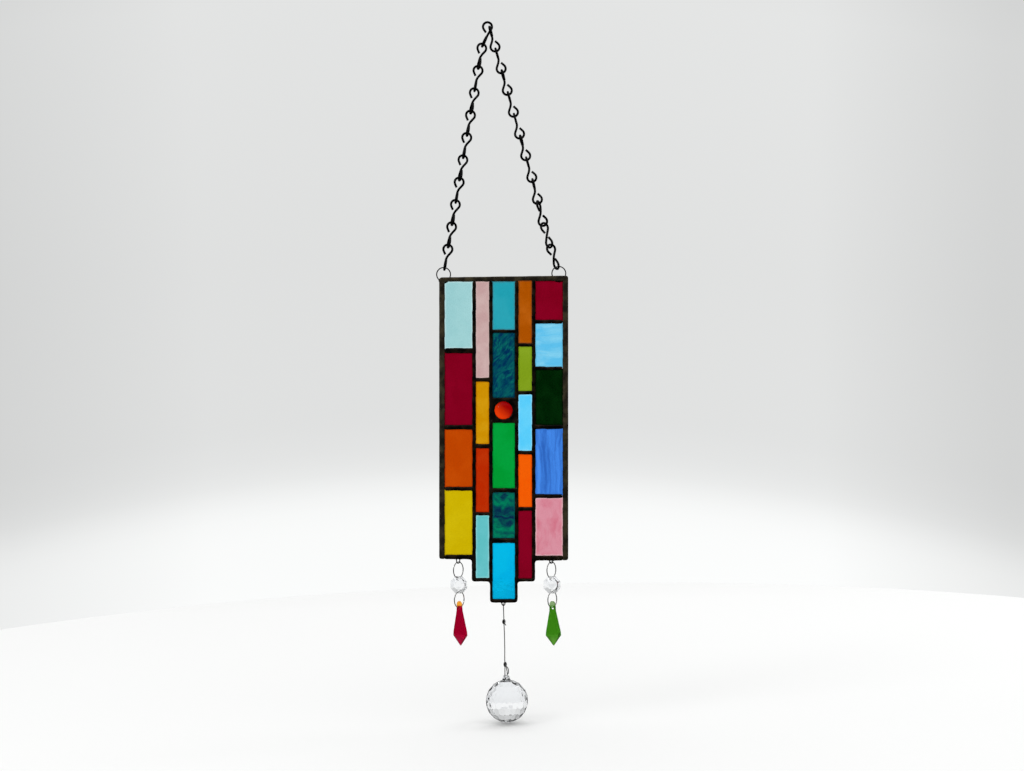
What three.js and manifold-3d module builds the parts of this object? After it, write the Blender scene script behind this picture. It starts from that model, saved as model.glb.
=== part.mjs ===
// Stained glass suncatcher: a stepped panel of 23 flat panes and one domed nugget in black solder, hung on a
// loop of single jack chain, with two crystal drops and a faceted ball hanging under it.
// Millimetres. X runs to the right, Z up and Y away from the room. The origin is the point where the hook
// bears, inside the eye of the top link.
import * as THREE from 'three';
import { mergeVertices } from 'three/addons/utils/BufferGeometryUtils.js';
import { ConvexGeometry } from 'three/addons/geometries/ConvexGeometry.js';
import Module from 'manifold-3d';

const wasm = await Module();
wasm.setup();

// ---- Driving dimensions ----------------------------------------------------------------------------------

const GAP = 0.3;                    // clear space between neighbouring pieces
const HANG_TILT = degrees(1.8);     // the hook holds the loop a link off its middle, so the panel hangs askew

// Panel: columns of glass between solder lines. Depths are measured down from the top left corner.
const GLASS_THICKNESS = 2.8;
const PANEL_THICKNESS = 5.0;        // over the solder beads and the came
const GLASS_LAP = 0.8;              // how far the metal covers the edge of each pane
const BEAD_ROUND = 0.7;             // rounding of the metal towards the glass
const CAME_WIDTH = 4.6;             // left and right sides
const CAME_TOP = { left: 3.5, right: 3.0 };           // depth of the top side's inner edge
const SOLDER_LINE = 3.1;            // between two columns
const TOP_RISE = 1.5;               // the top edge is this much higher at its right end
const PANEL_WIDTH = 109.3;
const CORNER_ROUND = 2.0;           // outer corners
const STEP_FILLET = 2.8;            // solder in the inner corners of the steps

// Each column: glass width, depth of its first pane, then [name, height, solder line below, colour].
const COLUMNS = [
  { width: 23.4, top: 3.5, panes: [
    ['pane_a1_pale_aqua', 56.4, 4.4, '#9fd0d3'], ['pane_a2_crimson', 60.9, 3.9, '#84001e'],
    ['pane_a3_rust', 48.7, 3.1, '#c84b00'], ['pane_a4_yellow', 54.6, 3.2, '#d4c000']] },
  { width: 11.1, top: 3.5, panes: [
    ['pane_b1_pale_pink', 81.6, 3.4, '#cbaaac'], ['pane_b2_amber', 52.8, 3.7, '#d59600'],
    ['pane_b3_red_orange', 54.3, 2.6, '#c82600'], ['pane_b4_pale_teal', 53.3, 2.6, '#6ec8be']] },
  { width: 18.8, top: 3.5, panes: [
    ['pane_c1_turquoise', 40.8, 2.6, '#1ea5b9'], ['pane_c2_dark_teal', 55.2, 21.4, '#005569'],
    ['pane_c3_green', 55.4, 3.6, '#00a032'], ['pane_c4_teal_swirl', 38.9, 4.0, '#0e5a5f'],
    ['pane_c5_sky_blue', 47.7, 2.6, '#00b4eb']] },
  { width: 11.4, top: 2.5, panes: [
    ['pane_d1_orange_brown', 53.4, 2.7, '#be5f00'], ['pane_d2_lime', 37.7, 3.1, '#7da514'],
    ['pane_d3_light_blue', 47.7, 3.1, '#55cdff'], ['pane_d4_orange', 44.8, 3.1, '#ff6400'],
    ['pane_d5_crimson', 57.5, 2.1, '#84001e']] },
  { width: 23.0, top: 3.0, panes: [
    ['pane_e1_crimson', 33.0, 3.1, '#84001e'], ['pane_e2_streaky_blue', 36.6, 2.6, '#6fc3f0'],
    ['pane_e3_dark_green', 46.8, 3.6, '#001e00'], ['pane_e4_blue', 55.3, 3.3, '#4187e1'],
    ['pane_e5_pink', 48.9, 3.2, '#dc8ca5']] },
];
const STEP_EDGES = { middle: [27.9, 80.9], inner: [43.4, 66.1] };
const STEP_DEPTHS = { left: 238.9, right: 240.0, middle: 257.8, inner: 275.7 };
const NUGGET = { x: 54.5, depth: 112.8, radius: 8.5, window: 7.7, height: 6.2, colour: '#f03c00' };

// Rings at the top corners, measured from the middle of the hook eye
const CORNER_RING = { radius: 5.9, wire: 1.0, left: [-37.4, -211.1], right: [60.8, -210.2] };
const PANEL_CORNER = [-40.8, -214.0];
const PANEL_FORWARD = PANEL_THICKNESS / 2 + GAP + CORNER_RING.wire / 2;
const SOLDER_LUMP = [4.6, 2.4, 2.7];

// Jack chain: a link is one wire bent into two teardrop loops a quarter turn apart
const LINK = { wire: 2.0, eyeRadius: 3.85, eyeCentre: 6.98, flank: 0.56, sides: 5, turns: 6 };
const LINK_REACH = LINK.eyeCentre + LINK.eyeRadius;   // from the neck to the wire at either end
const LEFT_LINKS = 10;
const RIGHT_LINKS = 11;
const TOP_LINK_BEND = degrees(25);  // its lower loop leans towards the left run
const RIGHT_RUN_START = [1.6, -0.05];                 // the first right link's wire, inside the hook eye
const LEFT_TWIST = degrees(13);
const TWIST_WANDER = degrees(5);
const UNTWIST = degrees(23);        // for each of the last three right links
const RUN_BOW = { from: 0.66, out: -1.1 };            // the right run bows this far to the left below there

// Pendants
const WIRE_LOOP = { wire: 0.8, radius: 1.3, sunk: 1.5 };
const HANGERS = {
  left: { x: 15.9, depth: STEP_DEPTHS.left, drop: 4.3 },
  centre: { x: 54.4, depth: STEP_DEPTHS.inner, drop: 3.3 },
  right: { x: 95.0, depth: STEP_DEPTHS.right, drop: 3.2 },
};
const PENDANT_RING = { radius: 6.8, wire: 0.8, turn: degrees(55) };
const OCTAGON = {
  across: 14.4, thickness: 6, table: 6.6, girdle: 1.4, hole: 1.4, holeInset: 2.1, turn: degrees(-18) };
const DROP = { holeDepth: 5.9, hole: 1.35, rest: 0.4, sides: 8 };   // rest: ring wire above hole middle
// Down the drop: depth below its top, half width, half thickness
const DROP_ROWS = [
  [0, 0, 0], [0.1, 1.4, 0.9], [1.7, 2.6, 1.5], [5.5, 2.9, 1.6], [8.1, 2.9, 2.2], [26.1, 6.6, 4.6],
  [29.1, 6.8, 4.7], [37.5, 0.5, 0.5], [37.7, 0, 0]];
const BALL = { radius: 17.8, rows: 8, around: 12, hole: 1.4, holeHeight: 18.8, turn: degrees(-15) };
const BALL_NECK = [[0, 14], [5.4, 16.6], [3.2, 18.5], [2.7, 20.7], [1.9, 21.9], [0, 22.0]];

// Thread, from the wire loop it is tied to: out over the wire, down through both knots, through the ball's
// neck and back up to the lower knot.
const THREAD = {
  wire: 0.8, sides: 8, steps: 60, knot: 1.25, knotDepths: [-13.9, -50.2], level: -61.7, lean: 0.45 };
const THREAD_ROUTE = [
  [0, 0.9, -12.7], [0, 1.25, -6], [0, 1.45, -0.4], [0, 1.0, 1.05], [0, 0, 1.45], [0, -1.0, 1.05],
  [0, -1.45, -0.4], [0, -1.1, -6], [0, -0.5, -11.5], [0, 0, -14.5], [0.1, 0, -24], [0, 0, -36],
  [-0.3, 0, -46], [-0.3, -0.4, -50.5], [-0.5, -2.9, -57.5], [-0.55, -3.85, -60.4], [-0.4, -3.4, -61.35],
  [-0.15, -2.3, -61.75], [0.45, 0, -61.7], [1.05, 2.3, -61.75], [1.3, 3.4, -61.35], [1.45, 3.85, -60.4],
  [1.35, 3.0, -57.0], [0.5, 1.2, -51.6]];

// ---- Small helpers ---------------------------------------------------------------------------------------

function degrees(angle) {
  return angle * Math.PI / 180;
}

function finish(colour, roughness, metalness) {
  return new THREE.MeshStandardMaterial({ color: colour, roughness, metalness });
}

function named(name, geometry, material) {
  const mesh = new THREE.Mesh(geometry, material);
  mesh.name = name;
  return mesh;
}

// A closed geometry as a solid that can be joined and cut
function toSolid(geometry) {
  const bare = new THREE.BufferGeometry();
  bare.setAttribute('position', geometry.getAttribute('position').clone());
  if (geometry.index) bare.setIndex(geometry.index.clone());
  const merged = mergeVertices(bare, 1e-4);
  return new wasm.Manifold(new wasm.Mesh({
    numProp: 3,
    vertProperties: new Float32Array(merged.getAttribute('position').array),
    triVerts: new Uint32Array(merged.index.array),
  }));
}

// The solid back as a geometry
function toGeometry(solid) {
  const mesh = solid.getMesh();
  const geometry = new THREE.BufferGeometry();
  geometry.setAttribute('position', new THREE.BufferAttribute(mesh.vertProperties, 3));
  geometry.setIndex(new THREE.BufferAttribute(mesh.triVerts, 1));
  geometry.computeVertexNormals();
  return geometry;
}

function joined(solids) {
  return solids.reduce((whole, solid) => whole.add(solid));
}

// A shape in the panel's plane from [x, depth, rounding] corners
function roundedShape(corners) {
  const shape = new THREE.Shape();
  corners.forEach(([x, depth, rounding = 0], i) => {
    const corner = new THREE.Vector2(x, -depth);
    const before = corners.at(i - 1);
    const after = corners[(i + 1) % corners.length];
    const towards = ([nextX, nextDepth]) => new THREE.Vector2(nextX, -nextDepth)
      .sub(corner).setLength(rounding).add(corner);
    const start = rounding ? towards(before) : corner;
    if (i === 0) shape.moveTo(start.x, start.y);
    else shape.lineTo(start.x, start.y);
    if (!rounding) return;
    const end = towards(after);
    shape.quadraticCurveTo(corner.x, corner.y, end.x, end.y);
  });
  shape.closePath();
  return shape;
}

// A flat shape given thickness, standing in the panel's plane
function standing(shape, thickness, round = 0) {
  const geometry = new THREE.ExtrudeGeometry(shape, {
    depth: thickness - 2 * round,
    curveSegments: 3,
    bevelEnabled: round > 0,
    bevelThickness: round,
    bevelSize: round,
    bevelOffset: -round,
    bevelSegments: 1,
  });
  return geometry.translate(0, 0, round - thickness / 2).rotateX(Math.PI / 2);
}

function box(x, depth, width, height, thickness) {
  return new THREE.BoxGeometry(width, thickness, height).translate(x + width / 2, 0, -depth - height / 2);
}

// A wire of round section bent along a curve
function wireAlong(curve, diameter, sides, steps) {
  const section = new THREE.Shape();
  section.absarc(0, 0, diameter / 2, 0, 2 * Math.PI);
  const points = section.getSpacedPoints(sides).slice(0, sides);
  return new THREE.ExtrudeGeometry(
    new THREE.Shape(points), { steps, bevelEnabled: false, extrudePath: curve });
}

// A bent wire whose corners are exactly the points given
class Bends extends THREE.Curve {
  constructor(points) {
    super();
    this.points = points;
  }

  getPoint(t, target = new THREE.Vector3()) {
    const place = t * (this.points.length - 1);
    const before = Math.min(Math.floor(place), this.points.length - 2);
    return target.lerpVectors(this.points[before], this.points[before + 1], place - before);
  }

  getPointAt(t, target) {
    return this.getPoint(t, target);
  }

  getTangentAt(t, target) {
    return this.getTangent(t, target);
  }
}

function ring({ radius, wire }, grow = 0) {
  return new THREE.TorusGeometry(radius, wire / 2 + grow, 6, 14).rotateX(Math.PI / 2);
}

// A round bar along Y, for cutting holes
function bar(radius, length) {
  return new THREE.CylinderGeometry(radius, radius, length, 10);
}

// ---- Panel -----------------------------------------------------------------------------------------------

// Every pane's window in the metal: { name, colour, x, depth, width, height }
function layOutWindows() {
  const windows = [];
  let x = CAME_WIDTH;
  for (const { width, top, panes } of COLUMNS) {
    let depth = top;
    for (const [name, height, line, colour] of panes) {
      windows.push({ name, colour, x, depth, width, height });
      depth += height + line;
    }
    x += width + SOLDER_LINE;
  }
  return windows;
}

function paneSize({ x, depth, width, height }, grow) {
  const lap = GLASS_LAP + grow;
  return [x - lap, depth - lap, width + 2 * lap, height + 2 * lap, GLASS_THICKNESS + 2 * grow];
}

function windowShape({ x, depth, width, height }, grow) {
  const [left, top, right, bottom] = [x - grow, depth - grow, x + width + grow, depth + height + grow];
  return roundedShape([[left, top], [right, top], [right, bottom], [left, bottom]]);
}

function nuggetShape(grow) {
  const circle = new THREE.Path();
  circle.absarc(NUGGET.x, -NUGGET.depth, NUGGET.window + grow, 0, 2 * Math.PI);
  return new THREE.Shape(circle.getSpacedPoints(14).slice(0, 14));
}

// What is cut out of the metal for a window: straight through the middle, flared at both faces
function windowCutter(shapeGrownBy) {
  const through = toSolid(standing(shapeGrownBy(0), 3 * PANEL_THICKNESS));
  const flare = standing(shapeGrownBy(BEAD_ROUND), 3 * BEAD_ROUND, BEAD_ROUND);
  const face = (PANEL_THICKNESS + BEAD_ROUND) / 2;
  const flares = [-face, face].map((y) => toSolid(flare.clone().translate(0, y, 0)));
  return joined([through, ...flares]);
}

function panelOutline() {
  const { middle, inner } = STEP_EDGES;
  const { left, right, middle: middleDepth, inner: innerDepth } = STEP_DEPTHS;
  return roundedShape([
    [0, 0, CORNER_ROUND], [PANEL_WIDTH, -TOP_RISE, CORNER_ROUND], [PANEL_WIDTH, right, CORNER_ROUND],
    [middle[1], right, STEP_FILLET], [middle[1], middleDepth, CORNER_ROUND],
    [inner[1], middleDepth, STEP_FILLET], [inner[1], innerDepth, CORNER_ROUND],
    [inner[0], innerDepth, CORNER_ROUND], [inner[0], middleDepth, STEP_FILLET],
    [middle[0], middleDepth, CORNER_ROUND], [middle[0], left, STEP_FILLET], [0, left, CORNER_ROUND],
  ]);
}

// The nugget: a disc with a thin lip under the metal, domed towards the room
function nuggetGeometry(grow = 0) {
  const { radius, window: open, height } = NUGGET;
  const back = GLASS_THICKNESS / 2 + grow;
  const lip = radius + grow;
  const profile = [new THREE.Vector2(0, -back), new THREE.Vector2(lip, -back), new THREE.Vector2(lip, back)];
  const dome = 3;
  for (let i = 0; i <= dome; i++) {
    const angle = i / dome * Math.PI / 2;
    const rise = (height - GLASS_THICKNESS) * Math.sin(angle);
    profile.push(new THREE.Vector2((open - GAP) * Math.cos(angle), back + rise));
  }
  return new THREE.LatheGeometry(profile, 14).rotateX(Math.PI).translate(NUGGET.x, 0, -NUGGET.depth);
}

// The area of the border came: the left, top and right sides, grown inwards by a margin
function cameBand(margin) {
  const inside = CAME_WIDTH + margin;
  const bottom = STEP_DEPTHS.middle;
  const shape = roundedShape([
    [-5, -5], [PANEL_WIDTH + 5, -5], [PANEL_WIDTH + 5, bottom], [PANEL_WIDTH - inside, bottom],
    [PANEL_WIDTH - inside, CAME_TOP.right + margin], [inside, CAME_TOP.left + margin], [inside, bottom],
    [-5, bottom]]);
  return toSolid(standing(shape, 2 * PANEL_THICKNESS));
}

function wireLoop({ x, depth, drop }) {
  const { wire, radius, sunk } = WIRE_LOOP;
  const middle = depth + drop - wire / 2 - radius;
  const points = [[x - radius, depth - sunk]];
  for (let i = 0; i <= 6; i++) {
    const angle = Math.PI * i / 6;
    points.push([x - radius * Math.cos(angle), middle + radius * Math.sin(angle)]);
  }
  points.push([x + radius, depth - sunk]);
  const curve = new THREE.CatmullRomCurve3(points.map(([px, pDepth]) => new THREE.Vector3(px, 0, -pDepth)));
  return toSolid(wireAlong(curve, wire, 6, 9));
}

// All the metal of the panel in one solid, with a slot for every pane
function panelMetal(windows) {
  const cuts = [windowCutter(nuggetShape), toSolid(nuggetGeometry(GAP))];
  for (const pane of windows) {
    cuts.push(windowCutter((grow) => windowShape(pane, grow)), toSolid(box(...paneSize(pane, GAP))));
  }
  return toSolid(standing(panelOutline(), PANEL_THICKNESS, BEAD_ROUND)).subtract(joined(cuts));
}

function buildPanel(ringCentres) {
  const panel = new THREE.Group();
  const windows = layOutWindows();
  for (const pane of windows) {
    panel.add(named(pane.name, box(...paneSize(pane, 0)), finish(pane.colour, 0.15, 0)));
  }
  panel.add(named('nugget_red_orange', nuggetGeometry(), finish(NUGGET.colour, 0.1, 0)));

  const metal = panelMetal(windows);
  const loops = joined(Object.values(HANGERS).map(wireLoop));
  const lattice = metal.subtract(cameBand(GAP)).add(loops);
  panel.add(named('solder_lattice', toGeometry(lattice), finish('#14130f', 0.45, 0.8)));

  let came = metal.intersect(cameBand(0));
  for (const [x, z] of ringCentres) {
    const lump = new THREE.SphereGeometry(1, 8, 5).scale(...SOLDER_LUMP);
    lump.translate(x, PANEL_FORWARD - 1.4, z - CORNER_RING.radius + 0.6);
    const groove = ring(CORNER_RING, GAP).translate(x, PANEL_FORWARD, z);
    came = came.add(toSolid(lump)).subtract(toSolid(groove));
  }
  for (const pane of windows) came = came.subtract(toSolid(box(...paneSize(pane, GAP))));
  panel.add(named('border_came', toGeometry(came), finish('#4b4132', 0.55, 0.7)));
  return panel;
}

// ---- Chain -----------------------------------------------------------------------------------------------

// One teardrop loop from the neck round to its free end, as [across, along] pairs
function teardrop() {
  const { eyeRadius, eyeCentre, flank, turns } = LINK;
  const lean = Math.acos(eyeRadius / eyeCentre);
  const points = [];
  for (let i = 0; i <= turns; i++) {
    const angle = -Math.PI / 2 + lean + (2 * Math.PI - 2 * lean) * i / turns;
    points.push([eyeRadius * Math.cos(angle), eyeCentre + eyeRadius * Math.sin(angle)]);
  }
  const [across, along] = points.at(-1);
  points.push([across * (1 - flank), along * (1 - flank)]);
  return points;
}

// A link about its neck: the upper loop in the XZ plane, the lower one in the YZ plane, which may be bent
function linkGeometry(bend = 0) {
  const upper = teardrop().reverse().map(([across, along]) => new THREE.Vector3(across, 0, along));
  const lower = teardrop().map(([across, along]) => new THREE.Vector3(0, across, -along));
  const yAxis = new THREE.Vector3(0, 1, 0);
  for (const point of lower) point.applyAxisAngle(yAxis, bend);
  const bends = [...upper, new THREE.Vector3(), ...lower];
  return wireAlong(new Bends(bends), LINK.wire, LINK.sides, bends.length - 1);
}

// A straight run of links from one wire to another. Both wires are given by their middles.
function hangRun({ name, from, to, count, twist, bow, endWire, firstHeld }) {
  const start = new THREE.Vector3(from[0], 0, from[1]);
  const direction = new THREE.Vector3(to[0], 0, to[1]).sub(start);
  const span = direction.length();
  direction.normalize();
  // The links' spare length is shared out as equal small gaps where wire meets wire
  const contacts = (count - 1 + (firstHeld ? 1 : 0)) * LINK.wire + (LINK.wire + endWire) / 2;
  const gap = (count * 2 * LINK_REACH - span - contacts) / (count + (firstHeld ? 1 : 0));
  const overlap = LINK.wire + gap;
  const up = direction.clone().negate();
  const yAxis = new THREE.Vector3(0, 1, 0);
  const across = yAxis.clone().cross(up);
  const upright = new THREE.Matrix4().makeBasis(across, yAxis, up);
  const links = [];
  for (let i = 0; i < count; i++) {
    const reach = LINK_REACH + i * (2 * LINK_REACH - overlap) - (firstHeld ? overlap : 0);
    const linkName = `${name}_${String(i + 1).padStart(2, '0')}`;
    const link = named(linkName, straightLink, finish('#101010', 0.45, 0.6));
    link.position.copy(start).addScaledVector(direction, reach).addScaledVector(across, bow(reach / span));
    link.quaternion.setFromRotationMatrix(upright);
    const drift = bow((reach - LINK_REACH) / span) - bow((reach + LINK_REACH) / span);
    link.rotateY(Math.atan(drift / 2 / LINK_REACH));
    link.rotateZ(twist(i + 1));
    links.push(link);
  }
  return links;
}

// The wire of a corner ring where a run of chain that comes from a point pulls on it
function ringPull(centre, from) {
  const towards = new THREE.Vector2(from[0] - centre[0], from[1] - centre[1]).setLength(CORNER_RING.radius);
  return [centre[0] + towards.x, centre[1] + towards.y];
}

function wander(i) {
  return TWIST_WANDER * Math.sin(2.4 * i);
}

function leftTwist(i) {
  return LEFT_TWIST + wander(i);
}

// The right run hangs a quarter turn round, and untwists over its last three links to suit its ring
function rightTwist(i) {
  return Math.PI / 2 - UNTWIST * Math.max(0, i - RIGHT_LINKS + 3) + wander(i);
}

// How far across its line a run hangs, at a share of the way down it
function rightBow(share) {
  return RUN_BOW.out * Math.sin(Math.PI * Math.max(0, share - RUN_BOW.from) / (1 - RUN_BOW.from));
}

const straightLink = linkGeometry();

function buildChain() {
  const chain = new THREE.Group();
  const top = named('link_top', linkGeometry(TOP_LINK_BEND), finish('#101010', 0.45, 0.6));
  top.position.z = -LINK.eyeCentre;
  chain.add(top);
  const leftStart = [
    -LINK_REACH * Math.sin(TOP_LINK_BEND), -LINK.eyeCentre - LINK_REACH * Math.cos(TOP_LINK_BEND)];
  const { wire: endWire, left, right } = CORNER_RING;
  chain.add(...hangRun({
    name: 'link_left', from: leftStart, to: ringPull(left, leftStart), count: LEFT_LINKS,
    twist: leftTwist, bow: () => 0, endWire, firstHeld: true }));
  chain.add(...hangRun({
    name: 'link_right', from: RIGHT_RUN_START, to: ringPull(right, RIGHT_RUN_START), count: RIGHT_LINKS,
    twist: rightTwist, bow: rightBow, endWire, firstHeld: false }));
  chain.add(named('ring_left', cornerRing(left), finish('#101010', 0.4, 0.7)));
  chain.add(named('ring_right', cornerRing(right), finish('#101010', 0.4, 0.7)));
  return chain;
}

function cornerRing([x, z]) {
  return ring(CORNER_RING).translate(x, 0, z);
}

// ---- Pendants --------------------------------------------------------------------------------------------

// The eight-sided crystal bead between two rings, holes top and bottom
function octagonGeometry() {
  const { across, thickness, table, girdle, hole, holeInset } = OCTAGON;
  const points = [];
  for (let i = 0; i < 8; i++) {
    const angle = degrees(22.5 + 45 * i);
    for (const [width, y] of [[across, girdle / 2], [table, thickness / 2]]) {
      const corner = width / 2 / Math.cos(degrees(22.5));
      for (const side of [-1, 1]) {
        points.push(new THREE.Vector3(corner * Math.cos(angle), side * y, corner * Math.sin(angle)));
      }
    }
  }
  const inset = across / 2 - holeInset;
  const holes = [-inset, inset].map((z) => toSolid(bar(hole, thickness * 2).translate(0, 0, z)));
  return toGeometry(toSolid(new ConvexGeometry(points)).subtract(joined(holes)));
}

// The long faceted drop, hung from the hole in its flat head
function dropGeometry() {
  const profile = DROP_ROWS.map(([depth, halfWidth]) => new THREE.Vector2(halfWidth, -depth));
  const geometry = new THREE.LatheGeometry(profile.reverse(), DROP.sides, degrees(22.5)).rotateX(Math.PI / 2);
  const position = geometry.getAttribute('position');
  for (let i = 0; i < position.count; i++) {
    const row = DROP_ROWS.find(([depth]) => Math.abs(depth + position.getZ(i)) < 1e-3);
    position.setY(i, position.getY(i) * (row[1] ? row[2] / row[1] : 1));
  }
  const hole = bar(DROP.hole, 20).translate(0, 0, -DROP.holeDepth);
  return toGeometry(toSolid(geometry).subtract(toSolid(hole)));
}

// Ring, octagon bead, ring and drop, one under the other, from the wire loop down
function buildPendant(side, dropName, dropColour, dropTurn) {
  const pendant = new THREE.Group();
  const silver = finish('#c9c9c6', 0.25, 1);
  const { radius, wire, turn } = PENDANT_RING;
  const hooked = (WIRE_LOOP.wire + wire) / 2 + GAP;
  const holeRest = OCTAGON.hole - wire / 2 - GAP;        // the wire sits this far above the hole's middle
  const upper = named(`${side}_upper_ring`, ring(PENDANT_RING), silver);
  upper.position.z = hooked - radius;
  const beadZ = upper.position.z - radius - holeRest - (OCTAGON.across / 2 - OCTAGON.holeInset);
  const bead = named(`${side}_octagon`, octagonGeometry(), finish('#e8eef0', 0.02, 0));
  bead.position.z = beadZ;
  bead.rotation.z = OCTAGON.turn;
  const lower = named(`${side}_lower_ring`, ring(PENDANT_RING), silver.clone());
  lower.position.z = beadZ - (OCTAGON.across / 2 - OCTAGON.holeInset) - holeRest - radius;
  upper.rotation.z = turn;
  lower.rotation.z = turn;
  const drop = named(dropName, dropGeometry(), finish(dropColour, 0.05, 0));
  drop.position.z = lower.position.z - radius - DROP.rest + DROP.holeDepth;
  drop.rotation.z = dropTurn;
  pendant.add(upper, bead, lower, drop);
  return pendant;
}

// The ball's facets: staggered rows of corners on a sphere, and a drilled neck
function ballGeometry() {
  const { radius, rows, around, hole, holeHeight } = BALL;
  const points = [new THREE.Vector3(0, 0, radius), new THREE.Vector3(0, 0, -radius)];
  for (let row = 1; row < rows; row++) {
    const latitude = Math.PI * row / rows;
    for (let i = 0; i < around; i++) {
      const longitude = 2 * Math.PI * (i + row % 2 / 2) / around;
      points.push(new THREE.Vector3().setFromSphericalCoords(radius, latitude, longitude).applyAxisAngle(
        new THREE.Vector3(1, 0, 0), Math.PI / 2));
    }
  }
  const neck = new THREE.LatheGeometry(BALL_NECK.map(([x, y]) => new THREE.Vector2(x, y)), 10);
  const drilled = bar(hole, 20).translate(0, 0, holeHeight);
  return toGeometry(toSolid(new ConvexGeometry(points)).add(toSolid(neck.rotateX(Math.PI / 2)))
    .subtract(toSolid(drilled)));
}

function threadGeometry() {
  const { wire, sides, steps, knot, knotDepths } = THREAD;
  const curve = new THREE.CatmullRomCurve3(THREAD_ROUTE.map((point) => new THREE.Vector3(...point)));
  const knots = knotDepths.map((z) => toSolid(new THREE.SphereGeometry(knot, 7, 5).scale(1, 1, 1.5)
    .rotateX(Math.PI / 2).translate(0, 0, z)));
  return toGeometry(toSolid(wireAlong(curve, wire, sides, steps)).add(joined(knots)));
}

function buildBallPendant() {
  const pendant = new THREE.Group();
  pendant.add(named('thread', threadGeometry(), finish('#181818', 0.8, 0)));
  const ball = named('crystal_ball', ballGeometry(), finish('#eef2f4', 0.02, 0));
  ball.position.x = THREAD.lean;
  ball.position.z = THREAD.level - BALL.holeHeight - (BALL.hole - THREAD.wire / 2 - GAP);
  ball.rotation.z = BALL.turn;
  pendant.add(ball);
  return pendant;
}

// ---- The whole suncatcher --------------------------------------------------------------------------------

const suncatcher = new THREE.Group();
const hung = new THREE.Group();     // chain and panel, turned together about the hook eye
hung.position.z = LINK.wire / 2 - LINK.eyeRadius;
hung.rotation.y = HANG_TILT;
suncatcher.add(hung);

const panelPlace = new THREE.Vector3(PANEL_CORNER[0], -PANEL_FORWARD, PANEL_CORNER[1]);
const ringsOnPanel = [CORNER_RING.left, CORNER_RING.right].map(
  ([x, z]) => [x - panelPlace.x, z - panelPlace.z]);
const panel = buildPanel(ringsOnPanel);
panel.position.copy(panelPlace);
hung.add(buildChain(), panel);

// Pendants hang plumb from the wire loops, whatever the panel's tilt
const pendants = {
  left: buildPendant('left', 'red_drop', '#9b0028', degrees(-37)),
  centre: buildBallPendant(),
  right: buildPendant('right', 'green_drop', '#3c8c14', degrees(-18)),
};
hung.updateMatrixWorld(true);
for (const [side, pendant] of Object.entries(pendants)) {
  const { x, depth, drop } = HANGERS[side];
  const wireMiddle = new THREE.Vector3(x, 0, -(depth + drop - WIRE_LOOP.wire / 2));
  pendant.position.copy(panel.localToWorld(wireMiddle));
  suncatcher.add(pendant);
}

export default suncatcher;
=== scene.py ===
# %% [markdown]
# # A stained glass suncatcher
#
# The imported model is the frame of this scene. It gives every solid piece at its real place and size, in
# metres, with Z up. What is added here is the look: round wire in place of the plain links, hand-run solder,
# rippled glass, cut crystals, and the light that shows them. Nothing is moved or resized.

# %% Load the frame
import math

import bmesh
import bpy
from mathutils import Matrix, Vector, noise


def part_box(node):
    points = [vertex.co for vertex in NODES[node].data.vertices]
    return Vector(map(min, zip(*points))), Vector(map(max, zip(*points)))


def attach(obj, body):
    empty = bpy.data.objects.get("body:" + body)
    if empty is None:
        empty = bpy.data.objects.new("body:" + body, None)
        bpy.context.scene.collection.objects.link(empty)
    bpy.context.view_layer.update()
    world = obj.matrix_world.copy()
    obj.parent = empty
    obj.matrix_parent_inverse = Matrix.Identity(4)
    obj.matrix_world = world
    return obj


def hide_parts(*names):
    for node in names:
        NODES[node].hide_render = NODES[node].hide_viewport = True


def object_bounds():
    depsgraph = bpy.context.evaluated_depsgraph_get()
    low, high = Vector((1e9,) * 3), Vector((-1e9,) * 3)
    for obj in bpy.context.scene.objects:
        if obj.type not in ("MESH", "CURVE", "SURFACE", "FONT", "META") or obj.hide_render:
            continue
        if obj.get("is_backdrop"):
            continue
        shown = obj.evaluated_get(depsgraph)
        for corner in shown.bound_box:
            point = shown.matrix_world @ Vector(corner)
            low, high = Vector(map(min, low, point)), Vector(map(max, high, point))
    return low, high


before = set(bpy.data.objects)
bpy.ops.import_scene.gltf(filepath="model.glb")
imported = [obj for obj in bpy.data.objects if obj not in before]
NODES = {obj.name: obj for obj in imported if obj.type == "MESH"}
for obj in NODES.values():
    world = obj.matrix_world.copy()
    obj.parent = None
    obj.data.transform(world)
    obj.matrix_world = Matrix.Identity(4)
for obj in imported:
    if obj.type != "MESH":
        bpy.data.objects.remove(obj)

CAD_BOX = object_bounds()
MM = 0.001
print(f"{len(NODES)} pieces, {(CAD_BOX[1] - CAD_BOX[0]).z / MM:.0f} mm from the top link to the ball")

# %% [markdown]
# ## Where things hang
#
# The hook holds the chain a link off its middle, so the chain and the panel hang 1.8 degrees askew, while the
# drops and the ball hang plumb. One turn about the hook's eye takes the upright drawing of the panel to its
# place. Two small functions do that: one for points of the chain, one for points of the panel, which are
# given as in a workshop drawing, across from the left edge and down from the top.

# %% The hung frame
TILT = Matrix.Rotation(math.radians(1.8), 3, "Y")
TILT_4 = TILT.to_4x4()
LINK_WIRE, LINK_EYE, LINK_EYE_CENTRE = 2.0 * MM, 3.85 * MM, 6.98 * MM
HOOK_EYE = Vector((0, 0, LINK_WIRE / 2 - LINK_EYE))
PANEL_CORNER = Vector((-40.8, -3.3, -214.0)) * MM


def hung_point(across, up, out=0.0):
    """A point measured from the middle of the hook's eye, before the tilt."""
    return HOOK_EYE + TILT @ Vector((across, out, up))


def panel_point(across, down):
    """A point of the panel, from its top left corner, in millimetres."""
    corner = PANEL_CORNER + Vector((across, 0, -down)) * MM
    return hung_point(corner.x, corner.z, corner.y)


def centre_of(node):
    low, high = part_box(node)
    return (low + high) / 2


ring_error = (centre_of("ring_left") - hung_point(-37.4 * MM, -211.1 * MM)).length
print(f"the left corner ring is {ring_error / MM:.2f} mm from where this turn puts it")

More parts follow.
